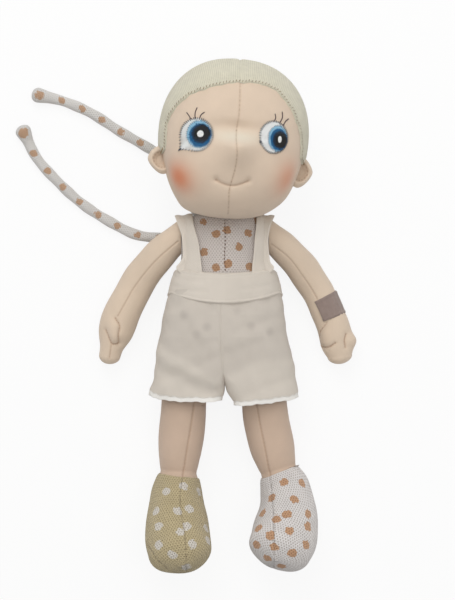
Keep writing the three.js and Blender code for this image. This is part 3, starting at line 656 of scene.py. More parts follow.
# Head: a full egg of skin-coloured jersey, sewn down the middle of the face. Threads pulled through the
# filling draw the nose, the smile and the hollows beside it, and the cheeks are rubbed with colour.
HEAD_HALF = np.array([48.5, 52.5, 43.5])
HEAD_FULLNESS = 2.3
JAW_FULLNESS = 2.7
HEAD_MIDDLE = np.array([0, 54.5, 18.8])
HEAD_TILT = math.radians(-4.5)
HEAD_TURN = math.radians(3.5)
FACE_FADE = (4, 22)
FACE_TONE = (225, 204, 182)
# Colour of the painted highlight: a pale patch over the bridge of the nose.
NOSE_HIGHLIGHT_TONE = (240, 245, 230)
BLUSH_TONE = (218, 108, 36)
BLUSHES = [(-35.5, -29, 12, 10, 1), (36, -24, 10.5, 11.5, 0.62)]  # place, half sizes and strength
SMILE = [(-11.4, -29), (-6.6, -31.2), (-0.8, -32), (5, -30.6), (9.8, -28)]
FACE_SEAM = [
    (-0.4, 40), (0.1, 14), (-0.7, 3), (-0.6, -5), (0.4, -13), (0.2, -22), (-1, -29), (-2, -35), (-0.6, -50),
]
SMILE_LINE = smooth_line(SMILE, 24)
SEAM_LINE = smooth_line(FACE_SEAM, 40)


def to_line(x, y, line):
    """Distance in the plane from each point to a drawn line."""
    best = np.full(np.shape(x), 1e3)
    for a, b in zip(line[:-1], line[1:]):
        run = np.subtract(b, a)
        share = np.clip(((x - a[0]) * run[0] + (y - a[1]) * run[1]) / (run @ run), 0, 1)
        best = np.minimum(best, np.hypot(x - a[0] - share * run[0], y - a[1] - share * run[1]))
    return best


def sculpt(x, y):
    """How far the needle-sculpted face stands out from the egg."""
    nose = 9.8 * hump(x, 11) * hump(y + 8, np.where(y > -8, 6.2, 11.5))
    bridge = -3.8 * hump(x, 16) * hump(y - 5.5, 4.6)
    sockets = -1.2 * (hump(x + 26, 11) + hump(x - 27, 11)) * hump(y, 11)
    cheeks = 1.6 * (hump(x + 28, 13) + hump(x - 28, 13)) * hump(y + 26, 12)
    chin = 1.4 * hump(x, 18) * hump(y + 41, 8)
    away = to_line(x, y, SMILE_LINE)
    smile = -0.9 * hump(away, 0.7) - 0.7 * hump(away, 2.4)
    corners = sum(-0.9 * hump(np.hypot(x - a, y - b), 2) for a, b in (SMILE[0], SMILE[-1]))
    seam = -0.4 * hump(to_line(x, y, SEAM_LINE), 0.6)
    return nose + bridge + sockets + cheeks + chin + smile + corners + seam


def jowl(y):
    """How much wider the egg is at a height: drawn in below the ears, and full again at the jaw."""
    return 1 + 0.12 * hump(y + 52, 6) - 0.05 * hump(y + 27, 17)


def jaw_pull(y):
    """How far the jaw is pulled towards the doll's right at a height."""
    return -2.6 * hump(y + 50, 8)


def slimming(y):
    """How much of the egg's width is lost at a height. The jaw is fuller than the crown."""
    return np.abs(y / HEAD_HALF[1]) ** np.where(y < 0, JAW_FULLNESS, HEAD_FULLNESS)


def face_z(x, y):
    """How far forward the face is."""
    across = np.abs((x - jaw_pull(y)) / jowl(y) / HEAD_HALF[0]) ** HEAD_FULLNESS
    z = HEAD_HALF[2] * np.maximum(1 - across - slimming(y), 0) ** (1 / HEAD_FULLNESS)
    return z + sculpt(x, y) * soft_step(z, *FACE_FADE)


def on_face(points, lift):
    """Points drawn on the face and lifted off it, from the head's middle, and the way off the cloth."""
    x, y = np.asarray(points, float).T
    slope_x = (face_z(x + 0.3, y) - face_z(x - 0.3, y)) / 0.6
    slope_y = (face_z(x, y + 0.3) - face_z(x, y - 0.3)) / 0.6
    up = unit(np.column_stack([-slope_x, -slope_y, np.ones(len(x))]))
    return np.column_stack([x, y, face_z(x, y)]) + up * lift, up


def spun(a, b, angle):
    """Two coordinates turned by an angle."""
    return a * math.cos(angle) - b * math.sin(angle), a * math.sin(angle) + b * math.cos(angle)


def turned(directions):
    """Directions of the head's own frame as the head is turned and tilted."""
    x, y, z = np.moveaxis(np.asarray(directions, float), -1, 0)
    z, x = spun(z, x, HEAD_TURN)
    x, y = spun(x, y, HEAD_TILT)
    return np.stack([x, y, z], -1)


def on_head(points):
    """Points from the middle of the head, in their place on the doll."""
    return NECK_PIVOT + turned(np.asarray(points) + HEAD_MIDDLE)


def egg(direction):
    """The point of the egg in a direction from its middle, and the outward direction there."""
    low, high = (np.full(direction.shape[:-1], v) for v in (30.0, 70.0))
    for _ in range(40):
        size = (low + high) / 2
        point = direction * size[..., None]
        round_share = (np.abs(point[..., ::2] / HEAD_HALF[::2]) ** HEAD_FULLNESS).sum(-1)
        inside = round_share + slimming(point[..., 1]) < 1
        low, high = np.where(inside, size, low), np.where(inside, high, size)
    normal = np.sign(point) * np.abs(point / HEAD_HALF) ** (HEAD_FULLNESS - 1) / HEAD_HALF
    point[..., 0] = point[..., 0] * jowl(point[..., 1]) + jaw_pull(point[..., 1])
    return point, unit(normal)


around = np.radians(np.concatenate([np.linspace(-88, 88, 236), np.linspace(94, 266, 44)]))
height = np.radians(np.linspace(-89, 89, 215))[:, None]
point, _ = egg(np.stack([
    np.cos(height) * np.sin(around), np.sin(height) + 0 * around, np.cos(height) * np.cos(around),
], -1))
x, y = point[..., 0], point[..., 1]
front = point[..., 2] > 0
point[..., 2] += np.where(front, sculpt(x, y) * soft_step(point[..., 2], *FACE_FADE), 0)
blush = np.zeros(front.shape)
for across, up, wide, tall, strong in BLUSHES:
    off = (point - [across, up, face_z(across, up)]) / [wide, tall, wide]
    blush = np.maximum(blush, strong * hump(np.linalg.norm(off, axis=2), 1))
pricked = 0.55 + 0.35 * np.sin(y * 2.7) * np.sin(y * 0.8 + 1)
drawn = pricked * hump(to_line(x, y, SEAM_LINE), 0.5)
drawn = np.maximum(drawn, 0.8 * hump(to_line(x, y, SMILE_LINE), 0.6)) * front
# Painted highlight: the face's colour made paler over the bridge of the nose.
nose_highlight = hump(x, 15) * hump(y + 0.5, 4.5) * front
face_marks = [("painted_highlight", NOSE_HIGHLIGHT_TONE, 0.38, 0), ("blush", BLUSH_TONE, 0.8, 0)]
face_jersey = jersey("face_jersey", FACE_TONE, face_marks)
head = stuffed("face", on_head(point), face_jersey, {"painted_highlight": nose_highlight, "blush": blush, "seam": drawn})
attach(head, "head")
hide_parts("head_cover", "head_filling")
seam_points, seam_up = on_face(SEAM_LINE[2:38], 0.02)
seam_lines = [on_head(seam_points)], [turned(seam_up)]
seam_yarn = yarn_finish("seam_yarn", (166, 140, 114))
seam = stitched("face_seam_stitches", *seam_lines, seam_yarn, 2.9, 1.5, 0.32, 16)
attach(seam, "head")

# Cap: knit hair pulled over the crown and the back of the head down to the nape, with its edge rolled under
# and whipped to the face along the hairline.
CAP_AXIS = np.array([0, 0.583, -0.812])
CAP_UP = np.array([0, 0.812, 0.583])
CAP_THICKNESS = 2.1
CAP_ROUND = 48
CAP_TONE = (231, 226, 204)
CAP_KNIT = {"Wale": 0.0013, "Course": 0.0011, "Stagger": 0.0}
CAP_STITCH_ROW = -5
HAIRLINE = [  # angle round the cap from the forehead, and how far down its edge comes
    (-180, 70), (-150, 72), (-130, 77), (-116, 85), (-107, 93), (-101, 101), (-94, 110), (-87, 114),
    (-79, 110), (-69, 103.2), (-57, 102), (-45, 101.4), (-37, 101.4), (-26, 102), (-16, 100.8), (-5, 99.2),
    (8, 97.6), (18, 96.6), (25, 97), (33, 99), (39, 102), (46, 103.8), (53, 106.6), (61, 108.6),
    (70, 110.4), (80, 115), (86, 115.6), (93, 111), (100, 102), (106, 94), (115, 85), (130, 77), (150, 72),
]


def rolled(inward, width):
    """The rise of a rolled edge, from nothing at the edge to 1 where it is a width inward."""
    return np.sqrt(np.clip(1 - (1 - np.clip(inward / width, 0, 1)) ** 2, 0, 1))


def closed(line):
    """A line that ends where it starts."""
    return np.vstack([line, line[:1]])


turns, edges = np.array(HAIRLINE, float).T
columns = np.linspace(180, -180, 241)[:-1]
reach = np.interp(columns, np.append(turns, 180), np.append(edges, edges[0]))
for _ in range(6):
    reach = (np.roll(reach, 1) + reach * 2 + np.roll(reach, -1)) / 4
aside = np.radians(columns)
reach = reach + 0.5 * np.sin(aside * 29) * np.sin(aside * 7 + 1) + 0.3 * np.sin(aside * 47)
share = np.concatenate([np.linspace(0.015, 0.93, 84), np.linspace(0.937, 1, 24)])[:, None]
polar = np.radians(share * reach)
direction = (
    np.cos(polar)[..., None] * CAP_AXIS
    + (np.sin(polar) * np.cos(aside))[..., None] * CAP_UP
    + (np.sin(polar) * np.sin(aside))[..., None] * np.array([1.0, 0, 0])
)
point, normal = egg(direction)
from_edge = (1 - share) * np.radians(reach) * CAP_ROUND
roll = rolled(from_edge, 1.1)
thick = CAP_THICKNESS * (0.55 + 0.45 * soft_step(from_edge, 1, 9))
waves = 0.3 * np.sin(aside * 67) * np.sin(aside * 11) + 0.25 * np.sin(aside * 23 + 1)
wave = waves * hump(from_edge - 1.5, 2.4)
crown_seam = -0.9 * hump(point[..., 0], 1) * (direction @ CAP_UP > 0)
point += normal * (thick * roll + wave + crown_seam * roll)[..., None]
rings = on_head(point)
off_table(rings)
cap_knit = cloth("cap_knit", CAP_TONE, KNIT, CAP_KNIT, 0.0003, gap_share=0.42, shade=0.14, patch=0.004)
crown = on_head(egg(CAP_AXIS[None])[0][0] + CAP_AXIS * CAP_THICKNESS)
cap = sewn_piece("knit_cap", rings, cap_knit, start=crown, front=0.5)
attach(cap, "head")
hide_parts("hair_cap")
whip_line = on_head(closed(point[CAP_STITCH_ROW] * 1.004))
whip_up = turned(closed(normal[CAP_STITCH_ROW]))
# Real whip stitches whose dark brown colour also paints the shadow along the cap's rolled edge.
cap_yarn_and_shadow = yarn_finish("cap_yarn_and_shadow", (154, 132, 100))
whip = stitched("cap_stitches", [whip_line], [whip_up], cap_yarn_and_shadow, 2.3, 2.2, 0.52, 62)
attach(whip, "head")

# Ears: two small pieces of jersey, stuffed thin and sewn on beside the cap's edge. Each has a raised rim,
# narrows towards its lobe, and is drawn in by a round of stitches to a hollow.
EAR_ROWS = 70
EAR_AROUND = 96
EARS = {  # side, half sizes, place on the head, and how much it narrows towards its top and its lobe
    "ear_left": (1, (9.6, 10.9, 3.6), (45, -17.4, 5), (0.3, 0.32)),
    "ear_right": (-1, (10.6, 9.6, 3.6), (-45.6, -16.8, 4), (0.04, 0.36)),
}
bend = np.radians(np.linspace(2, 178, EAR_ROWS))[:, None]
turn = -2 * np.pi * np.arange(EAR_AROUND) / EAR_AROUND
across, up = np.sin(bend) * np.cos(turn), np.sin(bend) * np.sin(turn)
facing = soft_step(np.cos(bend), -0.1, 0.2)
for node_name, (side, half, place, (narrow_top, narrow_lobe)) in EARS.items():
    from_middle = np.hypot(across - side * 0.8 / half[0], up)
    rim = hump(from_middle - 0.76, 0.17)
    hollow = 1 - soft_step(from_middle, 0.3, 0.68)
    stitches = hump(from_middle - 0.56, 0.05) * (0.6 + 0.4 * np.sin(turn * 17))
    narrow = narrow_top * np.clip(up, 0, 1) ** 1.3 + narrow_lobe * np.clip(-up, 0, 1) ** 1.3
    z = half[2] * np.cos(bend) + facing * (1.2 * rim - 3.4 * hollow - 0.4 * stitches)
    rings = on_head(np.stack([half[0] * across * (1 - narrow), half[1] * up, z], -1) + np.array(place))
    # An ear's seam mark is its dark round of stitches plus painted shade over its hollow.
    ear = stuffed("jersey_" + node_name, rings, skin, {"seam": facing * (0.26 * hollow + 0.9 * stitches)})
    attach(ear, "head")
    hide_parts(node_name)

# Eyes: embroidered on the face in satin stitch, one ring of coloured thread over the other, with a dark
# outline of short stitches and three lashes above each.
THREAD = 0.46
LASH_THICKNESS = 0.7
EYE_COLOURS = {
    "white": (232, 233, 231), "sky": (142, 190, 216), "blue": (10, 90, 138), "navy": (4, 36, 62),
    "black": (9, 9, 10), "lash": (74, 56, 60), "grey": (62, 68, 80),
}
EYES = {  # middles and half sizes across and up the face, and the lines of the lashes
    "eye_right": {
        "outline": (-26.2, -0.8, 10.3, 10.7), "corner": (-36.2, -11.2), "sky": (-24.6, -0.4, 7.9, 8.9),
        "blue": (-23.8, -0.9, 7.1, 7.8), "navy": (-23.3, -0.2, 6, 6.4), "black": (-22.7, 0.3, 5.3, 5.2),
        "glint": (-23.5, -0.2, 2.1, 2.2),
        "lashes": [
            [(-30.6, 9), (-32, 11.4), (-33.6, 13.4)], [(-28, 9.6), (-28.2, 13.4), (-27.2, 17)],
            [(-25.2, 9.3), (-24.4, 12.2), (-22.2, 14.2)],
        ],
    },
    "eye_left": {
        "outline": (23.9, 1.6, 9.3, 10.4), "corner": (15.4, -2.6), "sky": (26.8, 1.1, 6.4, 8.4),
        "blue": (27.4, 0.5, 5.7, 7.2), "navy": (28, 0.3, 4.8, 5.9), "black": (28.6, 0.2, 4, 5),
        "glint": (27.9, 0.6, 1.2, 2.2),
        "lashes": [
            [(23.6, 12), (24.4, 14.6), (23.8, 17)], [(27.4, 11.5), (28.9, 15), (28.6, 18.9)],
            [(30, 10), (31.2, 12.8), (33.2, 14.8)],
        ],
    },
}
EYE_RINGS = (  # ring, yarn, where its threads end inward, height off the face, unevenness of their ends
    ("outline", "white", 0.5, 0.2, 0.03),
    ("sky", "sky", 0.6, 0.42, 0.06),
    ("blue", "blue", 0.55, 0.58, 0.06),
    ("navy", "navy", 0.5, 0.7, 0.08),
    ("black", "black", 0.02, 0.84, 0.13),
    ("glint", "white", 0.02, 1.05, 0.06),
)
EYE_TICKS = (("outline", 1.6, 52, 0.5), ("sky", 1.3, 40, 0.32))  # ring, length, count and thickness


def thread_tree():
    """Round threads laid along lines."""
    group, given, line = line_tree("laid_thread", ("Thickness",))
    half = calc(group, "MULTIPLY", given["Thickness"], 0.5)
    section = node(group, "GeometryNodeCurvePrimitiveCircle", {"Resolution": 5, "Radius": half}).outputs[0]
    laid = {"Curve": line, "Profile Curve": section, "Fill Caps": True}
    return end_tree(group, given, node(group, "GeometryNodeCurveToMesh", laid).outputs[0])


THREADS = thread_tree()
eye_yarns = {name: yarn_finish("eye_yarn_" + name, colour) for name, colour in EYE_COLOURS.items()}
sewing_random = np.random.default_rng(7)


def ring_edge(shape, ring, turn):
    """The edge of an eye's ring at some angles. The outline is drawn out to a point at its lower corner."""
    x, y, wide, tall = shape[ring]
    edge = np.column_stack([x + wide * np.cos(turn), y + tall * np.sin(turn)])
    if ring != "outline":
        return edge
    to_corner = np.subtract(shape["corner"], (x, y))
    corner_turn = math.atan2(to_corner[1] / tall, to_corner[0] / wide)
    pull = hump(np.angle(np.exp(1j * (turn - corner_turn))), 0.42)[:, None]
    return edge * (1 - pull) + np.array(shape["corner"]) * pull


def satin(shape, ring, inner, lift, uneven):
    """Threads across a ring of an eye, from its edge towards its middle, with uneven ends."""
    middle, step = shape[ring][:2], 0.42 / max(shape[ring][2:])
    if ring == "outline":
        middle, step = shape["sky"][:2], 0.036
    ends = ring_edge(shape, ring, np.arange(0, 2 * np.pi, step))
    reach = (1 + sewing_random.uniform(-uneven, uneven, len(ends)))[:, None, None]
    share = np.array([0, 0.3, 0.65, 1])[:, None]
    lines = np.array(middle) + (ends - middle)[:, None] * reach * (inner + (1 - inner) * share)
    points, up = on_face(lines.reshape(-1, 2), lift)
    points[3::4] -= up[3::4] * 0.1
    return on_head(points).reshape(-1, 4, 3), turned(up).reshape(-1, 4, 3)


def ticks(shape, ring, size, count):
    """Short dark stitches across the edge of a ring of an eye."""
    edge = ring_edge(shape, ring, np.linspace(0, 2 * np.pi, count, endpoint=False))
    away = unit(edge - np.array(shape["sky"][:2]))
    span = np.array([-0.5, 0.5])[:, None] * size * sewing_random.uniform(0.7, 1.2, count)[:, None, None]
    points, up = on_face((edge[:, None] + away[:, None] * span).reshape(-1, 2), 0.5)
    return on_head(points).reshape(-1, 2, 3), turned(up).reshape(-1, 2, 3)


def laid_threads(name, lines, ups, yarn, thickness):
    """Threads of one of the eyes' yarns laid along lines, with their thickness in mm."""
    return grown_from(THREADS, name, lines, ups, {"Thickness": thickness * MM, "Yarn": eye_yarns[yarn]})


for node_name, shape in EYES.items():
    threads = []
    for ring, yarn, inner, lift, uneven in EYE_RINGS:
        lines, ups = satin(shape, ring, inner, lift, uneven)
        threads.append(laid_threads(node_name + "_" + ring, lines, ups, yarn, THREAD))
    for ring, size, count, thickness in EYE_TICKS:
        lines, ups = ticks(shape, ring, size, count)
        threads.append(laid_threads(node_name + "_" + ring + "_ticks", lines, ups, "grey", thickness))
    lashes = [on_face(smooth_line(line, 9), 0.2) for line in shape["lashes"]]
    lines = [on_head(points) for points, _ in lashes]
    ups = [turned(up) for _, up in lashes]
    threads.append(laid_threads(node_name + "_lashes", lines, ups, "lash", LASH_THICKNESS))
    with bpy.context.temp_override(active_object=threads[0], selected_editable_objects=threads):
        bpy.ops.object.join()
    eye = threads[0]
    eye.name = "embroidered_" + node_name
    eye.data.polygons.foreach_set("use_smooth", np.ones(len(eye.data.polygons), bool))
    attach(eye, "head")
    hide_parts(node_name)

# Arms: stuffed tubes of jersey with mitten hands, sewn shut along the front and sewn on at the body's side.
# Threads pulled through each hand draw in the thumb and the crease across the palm.
ARM_LENGTH = 97
ARM_RADIUS = 11
ARM_ROOT = np.array([30.8, 33, 24])
ARM_OUT = math.radians(38)
ARM_DOWN = math.radians(81)
ARM_ROWS = 230
ARM_AROUND = 144
FINGERTIP = 5.5
FINGERTIP_ROWS = 16
ARM_INTO_BODY = 1.2
ARM_LOWEST = 0.75
CREASE_POINTS = 24
# Swell: share of the arm's length, then half width and half depth against the usual radius.
# The lines on the hands are across and along the doll, in mm: seams, drawn-in creases and the thumbs' edges.
ARMS = {
    "left": {
        "side": 1,
        "swell": [
            (-0.1, 0.84, 0.84), (0.06, 0.88, 0.92), (0.2, 0.97, 0.98), (0.35, 1.03, 0.98), (0.55, 1.01, 0.96),
            (0.74, 0.98, 0.95), (0.82, 1.01, 0.95), (0.9, 1.04, 0.9), (0.95, 0.95, 0.8), (1, 0.78, 0.66),
        ],
        "bulges": [((85.4, -38.2, 12), 3.2, 4.2), ((69.5, -36.5, 20), 1.1, 6)],
        "creases": [
            [(64.8, -42), (68, -42.8), (71.5, -42.2), (75, -39.8)],
            [(83.4, -33.4), (82.2, -38), (82.8, -42.5)],
        ],
        "seams": [
            [(31.5, 27.5), (44, 17.5), (52.8, 6.2), (58.8, -2.6), (63, -9.5)],
            [(69.4, -25.8), (65, -31.8), (64.6, -38.7)],
            [(66, -44), (66.5, -51)],
        ],
    },
    "right": {
        "side": -1,
        "swell": [
            (-0.1, 0.84, 0.84), (0.06, 0.9, 0.92), (0.2, 0.97, 0.98), (0.4, 1.05, 1), (0.6, 1.1, 1.02),
            (0.76, 1.13, 1.02), (0.84, 1.06, 0.98), (0.9, 0.9, 0.88), (0.94, 0.75, 0.78), (1, 0.7, 0.66),
        ],
        "bulges": [((-75.4, -29, 23), 2.2, 5.4), ((-75.2, -35.5, 21), 1.9, 4.4)],
        "creases": [
            [(-82, -30.7), (-79.4, -35.6), (-77, -40.2), (-72.4, -40.4)],
            [(-75, -22.6), (-71.8, -27.8), (-72.8, -33.5), (-72.4, -39.8)],
        ],
        "seams": [
            [(-31.5, 29.6), (-44.2, 19), (-54.4, 8.2), (-62.6, -2.7), (-68.1, -12.2), (-73, -21)],
            [(-77.7, -41), (-79, -50)],
        ],
    },
}


def eased(values, rounds):
    """Values smoothed towards their neighbours, with both ends held."""
    for _ in range(rounds):
        values[1:-1] = (values[:-2] + 2 * values[1:-1] + values[2:]) / 4
    return values


def faces_up(rings):
    """Where a stuffed tube faces up, with a soft edge."""
    return soft_step(outward(rings)[..., 2], 0.05, 0.3)


def arm_at(side, share):
    """The middle of an arm at a share of its length, from its root."""
    turn = ARM_OUT + (ARM_DOWN - ARM_OUT) * share
    bend = ARM_LENGTH / (ARM_DOWN - ARM_OUT)
    drop = (ARM_RADIUS - 0.5 - ARM_ROOT[2]) * soft_step(share, 0, 0.55)
    across = side * bend * (np.sin(turn) - math.sin(ARM_OUT))
    return np.stack([across, -bend * (math.cos(ARM_OUT) - np.cos(turn)), drop], -1)


def arm_rings(arm, lift=0.0):
    """Rings of an arm from the shoulder to the hand, and the share of its length at each."""
    at, *swell = np.transpose(arm["swell"])
    share = np.linspace(at[0], at[-1], ARM_ROWS)
    wide, deep = (eased(np.interp(share, at, half) * ARM_RADIUS + lift, 30) for half in swell)
    spine = arm_at(arm["side"], share)
    rings = rings_along(spine, wide, deep, ARM_AROUND, end_dome=FINGERTIP, dome_rows=FINGERTIP_ROWS)
    beyond = np.linspace(1.003, 1.05, FINGERTIP_ROWS)
    return rings + ARM_ROOT * [arm["side"], 1, 1], np.concatenate([share, beyond])


hand_yarn = yarn_finish("hand_yarn", (184, 148, 118))
for name, arm in ARMS.items():
    side = arm["side"]
    rings, share = arm_rings(arm)
    facing = faces_up(rings)
    x, y = rings[..., 0], rings[..., 1]
    shape = lumps(rings, 0.7)
    for place, high, wide in arm["bulges"]:
        shape = shape + high * hump(np.linalg.norm(rings - place, axis=2), wide)
    drawn = np.zeros_like(x)
    for line in arm["creases"]:
        away = to_line(x, y, smooth_line(line, 14))
        shape = shape - (0.7 * hump(away, 0.7) + 0.7 * hump(away, 2.4)) * facing
        drawn = np.maximum(drawn, 0.6 * hump(away, 0.6) * facing)
    for line in arm["seams"]:
        away = to_line(x, y, smooth_line(line, 20))
        shape = shape - 0.45 * hump(away, 0.55) * (1 + 0.4 * np.sin(y * 2.9)) * facing
        drawn = np.maximum(drawn, 0.7 * hump(away, 0.45) * facing)
    rings = rings + outward(rings) * shape[..., None]
    rings[..., 0] = side * np.maximum(side * rings[..., 0], ARM_ROOT[0] - ARM_INTO_BODY)
    off_table(rings, ARM_LOWEST)
    sleeve = stuffed("jersey_arm_" + name, rings, skin, {"seam": drawn})
    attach(sleeve, "arm_" + name)
    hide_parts("arm_cover_" + name, "arm_filling_" + name)
    lines = []
    for line in arm["creases"]:
        drawn_line = smooth_line(line, CREASE_POINTS)
        near = [np.where(facing > 0, np.hypot(x - a, y - b), 1e3).argmin() for a, b in drawn_line]
        lines.append(rings.reshape(-1, 3)[near] + [0, 0, 0.2])
    ups = [np.tile([0.0, 0.0, 1.0], (CREASE_POINTS, 1))] * len(lines)
    pulled = stitched("hand_stitches_" + name, lines, ups, hand_yarn, 1.9, 1.3, 0.4, 20)
    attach(pulled, "arm_" + name)

# Label: a bare strip of grey-brown woven tape. It is folded over the outer half of the left forearm, and its
# ends are caught in the arm's seam.
LABEL_START = 0.565
LABEL_LENGTH = 16
LABEL_LIFT = 0.6
LABEL_TURN = (-96, 118)
LABEL_COLUMNS = 100
TAPE_THICKNESS = 0.5
TAPE_TONE = (158, 140, 132)
TAPE_WEAVE = {"Warp": 0.00055, "Weft": 0.00042}


def weave_group():
    """Plain weave along the UV map: the height of its threads, and the gaps between them."""
    group, given, put = shader_group("plain_weave", {"Warp": 0.0005, "Weft": 0.0005}, ["Height", "Gap"])
    uv = node(group, "ShaderNodeSeparateXYZ", {0: node(group, "ShaderNodeUVMap").outputs[0]}).outputs
    across = calc(group, "DIVIDE", uv[0], given["Warp"])
    along = calc(group, "DIVIDE", uv[1], given["Weft"])
    warp = thread_round(group, across)
    weft = thread_round(group, along)
    cell = calc(group, "ADD", calc(group, "FLOOR", across), calc(group, "FLOOR", along))
    over = calc(group, "MODULO", cell, 2.0)
    warp_up = calc(group, "MULTIPLY", warp, calc(group, "MULTIPLY_ADD", weft, 0.4, 0.6))
    weft_up = calc(group, "MULTIPLY", weft, calc(group, "MULTIPLY_ADD", warp, 0.4, 0.6))
    under_part = calc(group, "MULTIPLY", calc(group, "SUBTRACT", 1.0, over), weft_up)
    height = calc(group, "MULTIPLY_ADD", over, warp_up, under_part)
    group.links.new(height, put["Height"])
    group.links.new(ramp(group, height, 0.05, 0.4, 1.0, 0.0), put["Gap"])
    return group


def thickened(piece, thickness, offset):
    """Gives a sheet its thickness in mm, half to each side with offset 0."""
    wall = piece.modifiers.new("thickness", "SOLIDIFY")
    wall.thickness = thickness * MM
    wall.offset = offset


WEAVE = weave_group()
rings, share = arm_rings(ARMS["left"], LABEL_LIFT)
strip = rings[(share > LABEL_START) & (share < LABEL_START + LABEL_LENGTH / ARM_LENGTH)]
columns = np.radians(np.linspace(*LABEL_TURN, LABEL_COLUMNS)) / (2 * np.pi) * ARM_AROUND
low = np.floor(columns).astype(int)
part = (columns - low)[None, :, None]
strip = strip[:, low % ARM_AROUND] * (1 - part) + strip[:, (low + 1) % ARM_AROUND] * part
rows = np.arange(len(strip))
edge = np.minimum(rows, rows[::-1])[:, None]
raised = 0.35 * hump(edge - 2.5, 1.2) + 0.1 * np.sin(columns * 0.9)
strip = strip + outward(strip, False) * raised[..., None]
off_table(strip)
tape = cloth("label_tape", TAPE_TONE, WEAVE, TAPE_WEAVE, 0.00012, gap_share=0.5, shade=0.16, patch=0.004)
label = sewn_piece("label_strip", strip, tape, wrap=False)
thickened(label, TAPE_THICKNESS, -1)
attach(label, "arm_left")
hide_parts("wrist_label")

# Legs: stuffed tubes of jersey with one seam down the front. The top is left unstuffed and flat, and swings
# on the body's hip seam. Below the ankle the same tube goes on as a sock of spotted knit with a sewn-in sole.
LEG_LENGTH = 71.5
THIGH_RADIUS = 15.5
ANKLE_RADIUS = 13.3
HIP_PLACE = np.array([25.5, -57, 21])
FOOT_LENGTH = 61
FOOT_HALF = (21.25, 20)
FOOT_PITCH = np.radians([6, 56])
# Swell: share of the length, then half width and half depth against the usual ones.
LEG_SWELL = [
    (0, 0.96, 0.09), (0.07, 0.97, 0.16), (0.18, 0.99, 0.6), (0.32, 1, 0.98), (0.55, 1, 1), (0.8, 0.95, 0.97),
]
FOOT_SWELL = [(0.22, 0.77, 0.9), (0.48, 0.9, 1.02), (0.76, 1, 1), (1, 0.96, 0.8)]
SOLE_DROP = 13
LEG_AROUND = 160
LEG_ROWS = 331
LEG_DOME_ROWS = 18
ROWS_INTO_SOCK = 14
# The legs' jersey is the arms' skin jersey made darker: painted shade below the shorts and further from the
# lamp.
SHADED_LEG_TONE = (210, 185, 164)
SOCK_KNIT = {"Wale": 0.0018, "Course": 0.0016}
SOCK_SPOT_RADIUS = 3.1
SOCK_SEAM = ("seam", (96, 74, 54), 0.6, 0)
PIXEL = 0.68
PICTURE_AWAY = 1500
PICTURE_MIDDLE = (227.5, 300)
# The spots are places in a picture of 455 by 600 from above, whose pixels are 0.68 mm at 1.5 m from the
# camera. The seams are across and along the doll.
LEGS = {
    "left": {
        "side": 1, "lean": np.radians([1, 20]), "knit": (236, 231, 228), "spot": (203, 155, 115), "gap": 0.72,
        "slot": "spotted_knit", "toe": 0.44,
        "shift": [(0, 0), (0.3, -0.3), (0.6, -1.6), (0.75, -0.6), (1, 0)],
        "opening": [(0, 0.3), (90, 1.4), (130, 2), (180, 0.6), (270, 1), (360, 0.3)],
        "seams": [[(21.5, -78), (21.7, -83.4), (30.5, -128.8), (32, -140), (33, -175), (33, -192)]],
        "spots": [
            (284, 482), (302, 483), (272, 498), (295, 499), (262, 513), (287, 514), (276, 519), (308, 514),
            (258, 528), (308, 526), (289, 531), (270, 535), (256, 545), (274, 546), (306, 545), (268, 558),
            (292, 554), (281, 566),
        ],
    },
    "right": {
        "side": -1, "lean": np.radians([1, 8]), "knit": (199, 183, 144), "spot": (224, 218, 208), "gap": 0.62,
        "slot": "sage_knit", "toe": 0.6,
        "shift": [(0, -0.6), (0.3, -1.9), (0.52, -1.5), (0.62, -0.6), (0.75, 0), (1, 0)],
        "opening": [(0, 2.7), (90, 4), (180, 0.7), (270, 1.5), (360, 2.7)],
        "seams": [
            [(-20.8, -76), (-21, -81.4), (-28.8, -130.8), (-30.3, -141.6), (-29.6, -151.7), (-27.6, -161.9),
             (-26.3, -172), (-25.6, -192)],
            [(-51, -174.5), (-45.4, -182.4), (-39, -189.5)],
        ],
        "spots": [
            (166, 491), (184, 486), (199, 492), (156, 511), (178, 511), (190, 509), (159, 526), (187, 526),
            (180, 532), (158, 545), (192, 545), (172, 555), (206, 528), (208, 540), (186, 567),
        ],
    },
}


def read_off(table, at):
    """What a table of pairs says at some places, with straight lines between its rows."""
    return np.interp(at, *np.transpose(table))


def seen_at(points):
    """Where points show in that picture, in pixels across and down."""
    camera_x, camera_y, camera_z = np.array(CAMERA_PLACE) / MM
    scale = PIXEL * (camera_z - points[..., 2]) / PICTURE_AWAY
    across = PICTURE_MIDDLE[0] + (points[..., 0] - camera_x) / scale
    return across, PICTURE_MIDDLE[1] - (points[..., 1] - camera_y) / scale


def leg_at(side, share, lean):
    """The middle of a leg at a share of its length, from the hip."""
    turn = lean[0] + (lean[1] - lean[0]) * share
    bend = LEG_LENGTH / (lean[1] - lean[0])
    under_shorts = THIGH_RADIUS + 2 - HIP_PLACE[2]
    lying = THIGH_RADIUS - 0.5 - HIP_PLACE[2]
    sink = under_shorts * soft_step(share, 0, 0.3) + (lying - under_shorts) * soft_step(share, 0.3, 0.6)
    across = side * bend * (math.cos(lean[0]) - math.cos(turn))
    return np.array([across, -bend * (math.sin(turn) - math.sin(lean[0])), float(sink)])


def foot_at(side, share, lean):
    """The middle of a foot at a share of its length, from the hip."""
    pitch = FOOT_PITCH[0] + (FOOT_PITCH[1] - FOOT_PITCH[0]) * share
    bend = FOOT_LENGTH / (FOOT_PITCH[1] - FOOT_PITCH[0])
    reach = bend * (math.sin(pitch) - math.sin(FOOT_PITCH[0]))
    toe_in = lean[1] * (1 - 1.1 * share)
    rise = bend * (math.cos(FOOT_PITCH[0]) - math.cos(pitch))
    return leg_at(side, 1, lean) + [side * reach * math.sin(toe_in), -reach * math.cos(toe_in), rise]


